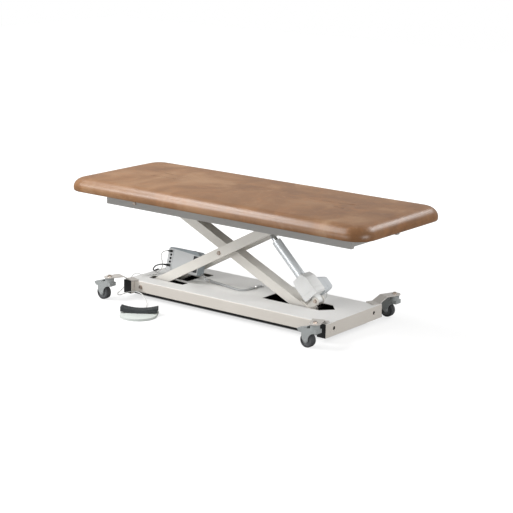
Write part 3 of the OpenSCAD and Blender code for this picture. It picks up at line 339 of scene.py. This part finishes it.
def add_conduit():
    """The actuator's corrugated cable sleeve, between the control box and the cover."""
    points_per_rib = len(CONDUIT_GROOVE)
    path = even_path(curve_through([mm(*p) for p in CONDUIT_ROUTE], 6), CONDUIT_RIB / points_per_rib)
    count = len(path) - 1

    def radius(t):
        return CONDUIT / 2 - CONDUIT_GROOVE[round(t * count) % points_per_rib]

    sleeve = tube("actuator_conduit", path, radius)
    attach(sleeve, "base")
    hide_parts("actuator_lead")
    return sleeve


pedal_cord, pedal_relief = add_pedal_cable()
mains_cord, mains_relief, coil_tie = add_mains_cord()
conduit = add_conduit()


# Materials

class Nodes:
    """A short way to build one node material."""

    def __init__(self, name):
        self.material = bpy.data.materials.new(name)
        self.material.use_nodes = True
        self.tree = self.material.node_tree
        self.surface = self.tree.nodes["Principled BSDF"]
        self.place = self.tree.nodes.new("ShaderNodeTexCoord").outputs["Object"]

    def node(self, kind, **settings):
        made = self.tree.nodes.new(kind)
        for key, value in settings.items():
            setattr(made, key, value)
        return made

    def link(self, out, into):
        self.tree.links.new(out, into)

    def noise(self, scale, detail, roughness, stretch=None, distortion=0.0):
        made = self.node("ShaderNodeTexNoise")
        made.inputs["Scale"].default_value = scale
        made.inputs["Detail"].default_value = detail
        made.inputs["Roughness"].default_value = roughness
        made.inputs["Distortion"].default_value = distortion
        source = self.place
        if stretch:
            mapping = self.node("ShaderNodeMapping")
            mapping.inputs["Scale"].default_value = stretch
            self.link(self.place, mapping.inputs["Vector"])
            source = mapping.outputs["Vector"]
        self.link(source, made.inputs["Vector"])
        return made.outputs["Fac"]

    def ramp(self, value, stops):
        made = self.node("ShaderNodeValToRGB")
        ramp = made.color_ramp
        while len(ramp.elements) < len(stops):
            ramp.elements.new(0.5)
        for element, (place, colour) in zip(ramp.elements, stops):
            element.position = place
            element.color = (*colour, 1)
        self.link(value, made.inputs["Fac"])
        return made.outputs["Color"]

    def span(self, value, low, high, to_low=0.0, to_high=1.0):
        made = self.node("ShaderNodeMapRange")
        limits = {"From Min": low, "From Max": high, "To Min": to_low, "To Max": to_high}
        for key, number in limits.items():
            made.inputs[key].default_value = number
        self.link(value, made.inputs["Value"])
        return made.outputs["Result"]

    def mix(self, factor, first, second, blend="MIX"):
        made = self.node("ShaderNodeMix", data_type="RGBA", blend_type=blend)
        for key, value in (("Factor", factor), ("A", first), ("B", second)):
            socket = [s for s in made.inputs if s.name == key and s.enabled][0]
            if isinstance(value, (int, float)):
                socket.default_value = value
            elif isinstance(value, tuple):
                socket.default_value = (*value, 1)
            else:
                self.link(value, socket)
        return [s for s in made.outputs if s.enabled][0]

    def math(self, operation, first, second):
        made = self.node("ShaderNodeMath", operation=operation)
        for socket, value in zip(made.inputs, (first, second)):
            if isinstance(value, (int, float)):
                socket.default_value = value
            else:
                self.link(value, socket)
        return made.outputs["Value"]

    def bump(self, height, distance, strength, normal=None):
        made = self.node("ShaderNodeBump")
        made.inputs["Distance"].default_value = distance
        made.inputs["Strength"].default_value = strength
        self.link(height, made.inputs["Height"])
        if normal is not None:
            self.link(normal, made.inputs["Normal"])
        return made.outputs["Normal"]

    def soft_edges(self, radius):
        made = self.node("ShaderNodeBevel", samples=4)
        made.inputs["Radius"].default_value = radius
        return made.outputs["Normal"]

    def finish(self, colour, roughness, normal, **numbers):
        """Joins colour, roughness (an output or a number) and normal, and sets the other numbers."""
        surface = self.surface.inputs
        self.link(colour, surface["Base Color"])
        self.link(normal, surface["Normal"])
        if isinstance(roughness, float):
            surface["Roughness"].default_value = roughness
        else:
            self.link(roughness, surface["Roughness"])
        for name, value in numbers.items():
            surface[name.replace("_", " ")].default_value = value
        return self.material


def shade(colour, factor):
    return tuple(min(c * factor, 1.0) for c in colour)


def powder_coat(name, colour, edge=0.0012, gloss=0.42):
    """Painted steel: fine orange peel, faint cloudy shade and softened edges."""
    n = Nodes(name)
    cloud = n.noise(3.0, 3, 0.5)
    tone = n.ramp(cloud, [(0.3, shade(colour, 0.96)), (0.7, shade(colour, 1.03))])
    rough = n.span(n.noise(25, 4, 0.6), 0.3, 0.7, gloss - 0.05, gloss + 0.06)
    peel = n.bump(n.noise(900, 2, 0.6), 0.00008, 0.5, n.soft_edges(edge))
    return n.finish(tone, rough, peel)


# Heights of the base's level top, where the paint is given a painted lighter tone
PAINTED_LIGHT_TOP_FROM = 0.0935
PAINTED_LIGHT_TOP_TO = 0.0955


def base_coat_with_painted_lit_top():
    """The base's paint, with painted light: a cooler and paler tone on the level top than on the
    upright sides stands in for the light falling from above.
    """
    n = Nodes("base_powder_coat_painted_lit_top")
    height = n.node("ShaderNodeSeparateXYZ")
    n.link(n.place, height.inputs["Vector"])
    level = n.span(height.outputs["Z"], PAINTED_LIGHT_TOP_FROM, PAINTED_LIGHT_TOP_TO)
    cloud = n.noise(3.0, 3, 0.5)
    side = n.ramp(cloud, [(0.3, (0.610, 0.570, 0.520)), (0.7, (0.650, 0.610, 0.555))])
    # painted light: the top's paler, cooler tone stands in for the light falling on it from above
    top = n.ramp(cloud, [(0.3, (0.830, 0.825, 0.805)), (0.7, (0.870, 0.865, 0.850))])
    rough = n.span(n.noise(25, 4, 0.6), 0.3, 0.7, 0.37, 0.48)
    peel = n.bump(n.noise(900, 2, 0.6), 0.00008, 0.5, n.soft_edges(0.0012))
    return n.finish(n.mix(level, side, top), rough, peel)


def moulded(name, colour, edge, gloss):
    """Moulded plastic: fine spark-eroded grain and slightly uneven shade."""
    n = Nodes(name)
    tone = n.ramp(n.noise(9, 3, 0.5), [(0.3, shade(colour, 0.95)), (0.7, shade(colour, 1.04))])
    rough = n.span(n.noise(60, 3, 0.6), 0.3, 0.7, gloss - 0.05, gloss + 0.07)
    grain = n.bump(n.noise(1600, 2, 0.7), 0.00006, 0.6, n.soft_edges(edge))
    return n.finish(tone, rough, grain)


def metal(name, colour, gloss, scale=300, bare=1.0):
    """Bright metal with a fine uneven grain; bare is its metallic share."""
    n = Nodes(name)
    grain = n.noise(scale, 3, 0.6)
    tone = n.ramp(grain, [(0.3, shade(colour, 0.88)), (0.7, shade(colour, 1.06))])
    rough = n.span(grain, 0.3, 0.7, gloss - 0.05, gloss + 0.08)
    return n.finish(tone, rough, n.bump(grain, 0.00004, 0.4, n.soft_edges(0.0006)), Metallic=bare)


def upholstery():
    """Brown vinyl: cloudy two-tone mottling, fine pebble grain and a soft sheen."""
    n = Nodes("brown_vinyl")
    deep, middle, pale = (0.160, 0.069, 0.023), (0.224, 0.108, 0.043), (0.335, 0.196, 0.105)
    clouds = n.noise(2.6, 6, 0.62, distortion=0.9)
    base = n.ramp(clouds, [(0.32, deep), (0.50, middle), (0.70, pale)])
    rust = n.span(n.noise(8.5, 6, 0.68, distortion=1.4), 0.50, 0.72, 0.0, 0.55)
    base = n.mix(rust, base, (0.300, 0.130, 0.045))
    worn = n.span(n.noise(21, 5, 0.7, distortion=0.6), 0.56, 0.74, 0.0, 0.35)
    base = n.mix(worn, base, (0.370, 0.225, 0.135))
    speck = n.span(n.noise(130, 4, 0.7), 0.35, 0.7)
    darker = n.ramp(speck, [(0.0, (0.88, 0.88, 0.88)), (1.0, (1.0, 1.0, 1.0))])
    base = n.mix(1.0, base, darker, "MULTIPLY")
    cells = n.node("ShaderNodeTexVoronoi", feature="SMOOTH_F1")
    cells.inputs["Scale"].default_value = 620
    n.link(n.place, cells.inputs["Vector"])
    grain = n.math("ADD", cells.outputs["Distance"], n.math("MULTIPLY", n.noise(90, 4, 0.6), 0.8))
    rough = n.span(clouds, 0.3, 0.7, 0.33, 0.42)
    normal = n.bump(grain, 0.00025, 0.35)
    return n.finish(base, rough, normal, Specular_IOR_Level=0.50)


# Distances from the castor's axle
HUB_EDGE = (0.0268, 0.0276)
GROOVE_INNER = (0.0285, 0.0290)
GROOVE_OUTER = (0.0305, 0.0300)


def castor_wheel_material(number):
    """A charcoal tyre round a lighter moulded hub, told apart by the distance from the axle."""
    n = Nodes(f"castor_wheel_{number}")
    low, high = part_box(f"castor_{number}_wheel")
    centre = (low + high) / 2
    flat = n.node("ShaderNodeMapping")
    flat.inputs["Location"].default_value = (-centre.x, 0, -centre.z)
    flat.inputs["Scale"].default_value = (1, 0, 1)
    n.link(n.place, flat.inputs["Vector"])
    length = n.node("ShaderNodeVectorMath", operation="LENGTH")
    n.link(flat.outputs["Vector"], length.inputs[0])
    away = length.outputs["Value"]
    dust = n.noise(40, 5, 0.65)
    tyre = n.ramp(dust, [(0.35, (0.036, 0.038, 0.041)), (0.75, (0.062, 0.064, 0.067))])
    hub = n.ramp(dust, [(0.35, (0.105, 0.110, 0.115)), (0.75, (0.145, 0.150, 0.155))])
    colour = n.mix(n.span(away, *HUB_EDGE), hub, tyre)
    groove = n.math("ADD", n.span(away, *GROOVE_INNER), n.span(away, *GROOVE_OUTER))
    normal = n.bump(groove, 0.0006, 0.8, n.soft_edges(0.0015))
    return n.finish(colour, n.span(dust, 0.3, 0.7, 0.55, 0.7), normal)


# The control box's face, in the box's own frame: the panel's upper edge falls from left to right
PANEL_FROM_X, PANEL_TO_X = 0.020, 0.200
PANEL_TOP_LEFT, PANEL_TOP_RIGHT = 0.122, 0.108
PANEL_DEPTH = 0.0006
# Where the recess at the panel's right end is darkened with painted shade
RECESS_FROM_X, RECESS_TO_X = 0.1795, 0.2165
RECESS_FROM_Y, RECESS_FULL_Y, RECESS_TO_Y = 0.0012, 0.006, 0.0105


def box_shell_with_painted_recess_shade():
    """The control box: a pale front panel in a blue-grey rim, with painted shade in the recess at its
    right end, darker further in.
    """
    n = Nodes("box_shell_with_painted_recess_shade")
    leant = n.node("ShaderNodeMapping", vector_type="TEXTURE")
    leant.inputs["Location"].default_value = BOX_CORNER
    leant.inputs["Rotation"].default_value = (-BOX_LEAN, 0, 0)
    n.link(n.place, leant.inputs["Vector"])
    parts = n.node("ShaderNodeSeparateXYZ")
    n.link(leant.outputs["Vector"], parts.inputs["Vector"])
    x, y, z = (parts.outputs[axis] for axis in "XYZ")
    panel_top = n.span(x, PANEL_FROM_X, PANEL_TO_X, PANEL_TOP_LEFT, PANEL_TOP_RIGHT)
    under_rim = n.math("LESS_THAN", z, panel_top)
    front = n.math("MULTIPLY", n.math("LESS_THAN", y, PANEL_DEPTH), under_rim)
    deep = n.span(y, RECESS_FROM_Y, RECESS_FULL_Y)
    recess = n.math("MULTIPLY", n.math("GREATER_THAN", x, RECESS_FROM_X),
                    n.math("LESS_THAN", x, RECESS_TO_X))
    recess_painted_shade = n.math("MULTIPLY", n.math("MULTIPLY", recess, deep), n.math("LESS_THAN", y, RECESS_TO_Y))
    tone = n.noise(9, 3, 0.5)
    rim = n.ramp(tone, [(0.3, (0.300, 0.340, 0.365)), (0.7, (0.340, 0.380, 0.405))])
    panel = n.ramp(tone, [(0.3, (0.640, 0.655, 0.660)), (0.7, (0.680, 0.695, 0.700))])
    # painted shade: the recess is mixed towards dark grey, more so deeper in
    colour = n.mix(recess_painted_shade, n.mix(front, rim, panel), (0.060, 0.065, 0.070))
    rough = n.span(n.noise(60, 3, 0.6), 0.3, 0.7, 0.35, 0.47)
    grain = n.bump(n.noise(1600, 2, 0.7), 0.00006, 0.6, n.soft_edges(0.003))
    return n.finish(colour, rough, grain)


PEDAL_TURN = 33


def treadle_rubber():
    """Black rubber with ribs across the treadle."""
    n = Nodes("treadle_rubber")
    turned = n.node("ShaderNodeMapping", vector_type="TEXTURE")
    turned.inputs["Rotation"].default_value = (0, 0, math.radians(PEDAL_TURN))
    n.link(n.place, turned.inputs["Vector"])
    ribs = n.node("ShaderNodeTexWave", bands_direction="X")
    ribs.inputs["Scale"].default_value = 50
    n.link(turned.outputs["Vector"], ribs.inputs["Vector"])
    dust = n.noise(50, 5, 0.65)
    tone = n.ramp(dust, [(0.35, (0.018, 0.022, 0.024)), (0.75, (0.032, 0.038, 0.041))])
    return n.finish(tone, 0.55, n.bump(ribs.outputs["Fac"], 0.0009, 0.8, n.soft_edges(0.0015)))


def plywood():
    """The pad's board: grain along the table, with thin plies."""
    n = Nodes("plywood")
    grain = n.noise(14, 6, 0.65, (1, 8, 40))
    tone = n.ramp(grain, [(0.25, (0.20, 0.17, 0.14)), (0.6, (0.34, 0.30, 0.25)),
                          (0.8, (0.42, 0.38, 0.32))])
    return n.finish(tone, 0.7, n.bump(grain, 0.0002, 0.5))


WHITE_STEEL = powder_coat("white_powder_coat", (0.750, 0.722, 0.668))
BASE_STEEL = base_coat_with_painted_lit_top()
CARRIER_STEEL = powder_coat("carrier_powder_coat", (0.540, 0.512, 0.478))
GREY_STEEL = powder_coat("grey_powder_coat", (0.350, 0.340, 0.326))
CASTOR_GREY = powder_coat("castor_paint", (0.310, 0.327, 0.325), 0.0015, 0.38)
ZINC = metal("bright_zinc", (0.70, 0.68, 0.65), 0.28)
BOLT_STEEL = metal("bolt_steel", (0.58, 0.50, 0.44), 0.25)
ALUMINIUM = metal("drawn_aluminium", (0.84, 0.88, 0.91), 0.32, scale=260, bare=0.35)
CHROME = metal("polished_rod", (0.74, 0.77, 0.80), 0.16, scale=200)
NYLON = moulded("dark_nylon", (0.030, 0.030, 0.032), 0.0006, 0.4)
BLACK = moulded("black_plastic", (0.004, 0.004, 0.005), 0.0006, 0.60)
PAN_BLACK = moulded("pan_black", (0.002, 0.002, 0.002), 0.0006, 0.9)
BOX_FACE = box_shell_with_painted_recess_shade()
HOUSING = moulded("white_housing", (0.800, 0.805, 0.795), 0.004, 0.38)
MOTOR = moulded("motor_shell", (0.600, 0.630, 0.650), 0.003, 0.35)
PEDAL_PLATE = moulded("pedal_plate", (0.585, 0.620, 0.590), 0.002, 0.45)
TREADLE_RUBBER = treadle_rubber()
CABLE = moulded("cable_sheath", (0.680, 0.680, 0.660), 0.0002, 0.45)
CONDUIT_GREY = moulded("conduit_grey", (0.430, 0.440, 0.440), 0.0002, 0.35)
WOOD = plywood()
VINYL = upholstery()


def dress(piece, material):
    piece.data.materials.clear()
    piece.data.materials.append(material)
    for face in piece.data.polygons:
        face.material_index = 0


MATERIAL_OF = {
    PAN_BLACK: ("base_pan",),
    BASE_STEEL: ("base_cover", "crossmember_left", "crossmember_right"),
    CARRIER_STEEL: ("castor_arms",),
    WHITE_STEEL: ("lower_roller_tracks", "outer_arm_near", "outer_arm_far",
                  "outer_arm_cross_tubes", "rod_bracket", "inner_arm", "clevis_bracket",
                  "control_bracket"),
    GREY_STEEL: ("frame_rail_near", "frame_rail_far", "frame_ends", "frame_cross_bars",
                 "upper_roller_tracks", "pivot_brackets"),
    CASTOR_GREY: [f"castor_{i}_{part}" for i in range(1, 5) for part in ("fork", "brake")],
    BOLT_STEEL: ("castor_bolts", "base_pivot_shaft", "centre_pivot_shaft", "clevis_pin",
                 "rod_pin", "frame_bolts"),
    ZINC: ("upper_axle", "lower_axle", "frame_pivot_shaft", "lead_clips"),
    NYLON: ("upper_rollers", "lower_rollers"),
    BLACK: ("crossmember_caps", "control_sockets", "mains_plug"),
    BOX_FACE: ("control_box",),
    HOUSING: ("gear_housing",),
    MOTOR: ("motor_housing",),
    ALUMINIUM: ("actuator_tube",),
    CHROME: ("actuator_rod",),
    PEDAL_PLATE: ("pedal_base",),
    TREADLE_RUBBER: ("pedal_treadle",),
    CABLE: ("motor_lead",),
    WOOD: ("top_board",),
}
for material, names in MATERIAL_OF.items():
    for name in names:
        dress(nodes[name], material)
for number in range(1, 5):
    dress(nodes[f"castor_{number}_wheel"], castor_wheel_material(number))
dress(pedal_cord, CABLE)
dress(conduit, CONDUIT_GREY)
for piece in (mains_cord, mains_relief, coil_tie, pedal_relief):
    dress(piece, BLACK)


# The pad: a crowned closed form of rings, from the recess round the sides to the crown

PAD_LENGTH = 1.930
PAD_WIDTH = 0.766
PAD_SHIFT = -0.015
PAD_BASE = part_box("cushion")[0].z
PAD_HEIGHT = 0.075
PAD_CROWN = 0.008
PAD_FLAT = 0.300
PAD_WAVE = 0.0012
PAD_WAVES_PER_METRE = 2.2
PAD_WAVE_FROM = 0.02
PAD_SMALLEST_CORNER = 0.012
SHOULDER_LOW = 0.016
SHOULDER_IN = 0.062
SHOULDER_UP = 0.052
PAD_CORNER = 0.110
BOARD_INSET = 0.014
BOARD_THICK = 0.015
CORNER_POINTS = 14
SIDE_POINTS = 22
END_POINTS = 9


def pad_outline(inset):
    """The pad's outline drawn in by inset, as points with straight stretches cut evenly."""
    half_l = PAD_LENGTH / 2 - inset
    half_w = PAD_WIDTH / 2 - inset
    r = max(PAD_CORNER - inset, PAD_SMALLEST_CORNER)
    centres = [((half_l - r) * x, (half_w - r) * y) for x, y in ((1, 1), (-1, 1), (-1, -1), (1, -1))]
    points = []
    for quarter, (cx, cy) in enumerate(centres):
        for k in range(CORNER_POINTS):
            a = math.radians(90 * quarter + 90 * k / (CORNER_POINTS - 1))
            points.append((cx + r * math.cos(a), cy + r * math.sin(a)))
        straight = SIDE_POINTS if quarter in (0, 2) else END_POINTS
        nx, ny = centres[(quarter + 1) % 4]
        b = math.radians(90 * (quarter + 1))
        goal = (nx + r * math.cos(b), ny + r * math.sin(b))
        x, y = points[-1]
        for k in range(1, straight):
            t = k / straight
            points.append((x + (goal[0] - x) * t, y + (goal[1] - y) * t))
    return points


def pad_profile():
    """Pairs of inset and height above the pad's underside, in order from the recess to the crown."""
    edge = [(BOARD_INSET, BOARD_THICK), (BOARD_INSET, 0.0), (0.006, 0.0), (0.0025, 0.0014),
            (0.0008, 0.006)]
    side = []
    for turn in range(0, 90, 9):
        a = math.radians(turn)
        side.append((SHOULDER_IN * (1 - math.cos(a)), SHOULDER_LOW + SHOULDER_UP * math.sin(a)))
    top = [(inset, PAD_HEIGHT - PAD_CROWN * (1 - min(inset / PAD_FLAT, 1)) ** 2)
           for inset in (0.066, 0.082, 0.105, 0.140, 0.180, 0.225, 0.270, 0.310, 0.345)]
    return edge + side + top


def add_pad():
    """The padded top, level on its board and slightly uneven over its shoulders."""
    bm = bmesh.new()
    rings = []
    for inset, height in pad_profile():
        ring = []
        for x, y in pad_outline(inset):
            lift = 0.0
            if inset > PAD_WAVE_FROM:
                place = Vector((x * PAD_WAVES_PER_METRE, y * PAD_WAVES_PER_METRE, 0.3))
                lift = PAD_WAVE * max(1 - inset / PAD_FLAT, 0) * noise.noise(place)
            ring.append(bm.verts.new((x + PAD_SHIFT, y, PAD_BASE + height + lift)))
        rings.append(ring)
    join_rings(bm, rings)
    close_ends(bm, rings)
    pad = new_object("pad", bm)
    smooth = pad.modifiers.new("smooth", "SUBSURF")
    smooth.levels = 2
    smooth.render_levels = 2
    dress(pad, VINYL)
    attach(pad, "table_top")
    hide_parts("cushion")


add_pad()


# Studio: pale floor with a painted shadow under the base, white surroundings and soft lamps

FLOOR_HALF = 12.0
FLOOR_DROP = 0.0005
FLOOR_GREY = (0.30, 0.30, 0.30)
GLOW_NEAR = 0.72
GLOW_FAR = 0.95
GLOW_FROM = 1.2
GLOW_TO = 3.2
# The base's outline in X and Y, within which the floor's glow is left out as a painted shadow
PAINTED_SHADOW_OUTLINE = (("X", 0.590, 0.640), ("Y", 0.150, 0.185))
WORLD_LIGHT = 0.45


def floor_glow_with_painted_shadow(tree):
    """The floor's glow, with painted shadow: none well within the base's outline, so the floor under
    the base shows dark, rising with the distance outside it.
    """
    place = tree.nodes.new("ShaderNodeTexCoord").outputs["Object"]
    parts = tree.nodes.new("ShaderNodeSeparateXYZ")
    tree.links.new(place, parts.inputs["Vector"])
    shares = []
    for axis, inner, outer in PAINTED_SHADOW_OUTLINE:
        size = tree.nodes.new("ShaderNodeMath")
        size.operation = "ABSOLUTE"
        tree.links.new(parts.outputs[axis], size.inputs[0])
        share = tree.nodes.new("ShaderNodeMapRange")
        share.interpolation_type = "SMOOTHSTEP"
        share.inputs["From Min"].default_value = inner
        share.inputs["From Max"].default_value = outer
        tree.links.new(size.outputs["Value"], share.inputs["Value"])
        shares.append(share.outputs["Result"])
    outside_painted_shadow = tree.nodes.new("ShaderNodeMath")
    outside_painted_shadow.operation = "MAXIMUM"
    for value, socket in zip(shares, outside_painted_shadow.inputs):
        tree.links.new(value, socket)
    away = tree.nodes.new("ShaderNodeVectorMath")
    away.operation = "LENGTH"
    tree.links.new(place, away.inputs[0])
    rise = tree.nodes.new("ShaderNodeMapRange")
    for key, value in (("From Min", GLOW_FROM), ("From Max", GLOW_TO), ("To Min", GLOW_NEAR),
                       ("To Max", GLOW_FAR)):
        rise.inputs[key].default_value = value
    tree.links.new(away.outputs["Value"], rise.inputs["Value"])
    glow = tree.nodes.new("ShaderNodeMath")
    glow.operation = "MULTIPLY"
    tree.links.new(outside_painted_shadow.outputs["Value"], glow.inputs[0])
    tree.links.new(rise.outputs["Result"], glow.inputs[1])
    return glow.outputs["Value"]


def add_floor():
    """A grey floor for light and shadow, which glows white for the camera's own rays, except under the
    base, where the glow is left out as a painted shadow.
    """
    bm = bmesh.new()
    bm.faces.new([bm.verts.new((x * FLOOR_HALF, y * FLOOR_HALF, -FLOOR_DROP))
                  for x, y in ((-1, -1), (1, -1), (1, 1), (-1, 1))])
    floor = new_object("floor", bm, False)
    material = bpy.data.materials.new("studio_floor")
    material.use_nodes = True
    tree = material.node_tree
    surface = tree.nodes["Principled BSDF"]
    surface.inputs["Base Color"].default_value = (*FLOOR_GREY, 1)
    surface.inputs["Roughness"].default_value = 0.9
    glow = tree.nodes.new("ShaderNodeEmission")
    glow.inputs["Color"].default_value = (1, 1, 1, 1)
    both = tree.nodes.new("ShaderNodeAddShader")
    tree.links.new(surface.outputs["BSDF"], both.inputs[0])
    tree.links.new(glow.outputs["Emission"], both.inputs[1])
    rays = tree.nodes.new("ShaderNodeLightPath")
    choice = tree.nodes.new("ShaderNodeMixShader")
    tree.links.new(floor_glow_with_painted_shadow(tree), glow.inputs["Strength"])
    tree.links.new(rays.outputs["Is Camera Ray"], choice.inputs["Fac"])
    tree.links.new(surface.outputs["BSDF"], choice.inputs[1])
    tree.links.new(both.outputs["Shader"], choice.inputs[2])
    tree.links.new(choice.outputs["Shader"], tree.nodes["Material Output"].inputs["Surface"])
    floor.data.materials.append(material)


def add_world():
    """White for the camera's own rays, and a dimmer even light for all others."""
    world = bpy.data.worlds.new("studio")
    bpy.context.scene.world = world
    world.use_nodes = True
    tree = world.node_tree
    plain = tree.nodes["Background"]
    plain.inputs["Color"].default_value = (1, 1, 1, 1)
    plain.inputs["Strength"].default_value = WORLD_LIGHT
    white = tree.nodes.new("ShaderNodeBackground")
    white.inputs["Color"].default_value = (1, 1, 1, 1)
    white.inputs["Strength"].default_value = 1.0
    rays = tree.nodes.new("ShaderNodeLightPath")
    choice = tree.nodes.new("ShaderNodeMixShader")
    tree.links.new(rays.outputs["Is Camera Ray"], choice.inputs["Fac"])
    tree.links.new(plain.outputs["Background"], choice.inputs[1])
    tree.links.new(white.outputs["Background"], choice.inputs[2])
    tree.links.new(choice.outputs["Shader"], tree.nodes["World Output"].inputs["Surface"])


# Name, place, aim, width and height in metres, and power in watts
LAMPS = (("key", (-2.7, -2.7, 3.4), (0, 0, 0.2), (1.8, 1.8), 165),
         ("front", (-1.2, -5.0, 0.9), (0, 0, 0.4), (3.0, 1.2), 70),
         ("above_left", (-2.3, -0.4, 3.8), (0, 0, 0.6), (2.2, 1.0), 108),
         ("behind", (1.5, 3.2, 3.1), (0.6, 0, 0.6), (2.4, 0.8), 64),
         ("right", (4.5, -0.8, 1.2), (0, 0, 0.3), (2.0, 1.6), 75))


def add_lamp(name, place, aim, size, power):
    data = bpy.data.lights.new(name, "AREA")
    data.shape = "RECTANGLE"
    data.size, data.size_y = size
    data.energy = power
    lamp = bpy.data.objects.new(name, data)
    lamp.location = place
    lamp.rotation_euler = (Vector(aim) - Vector(place)).to_track_quat("-Z", "Y").to_euler()
    bpy.context.scene.collection.objects.link(lamp)


add_floor()
add_world()
for lamp in LAMPS:
    add_lamp(*lamp)

bpy.context.scene.view_settings.view_transform = "Standard"
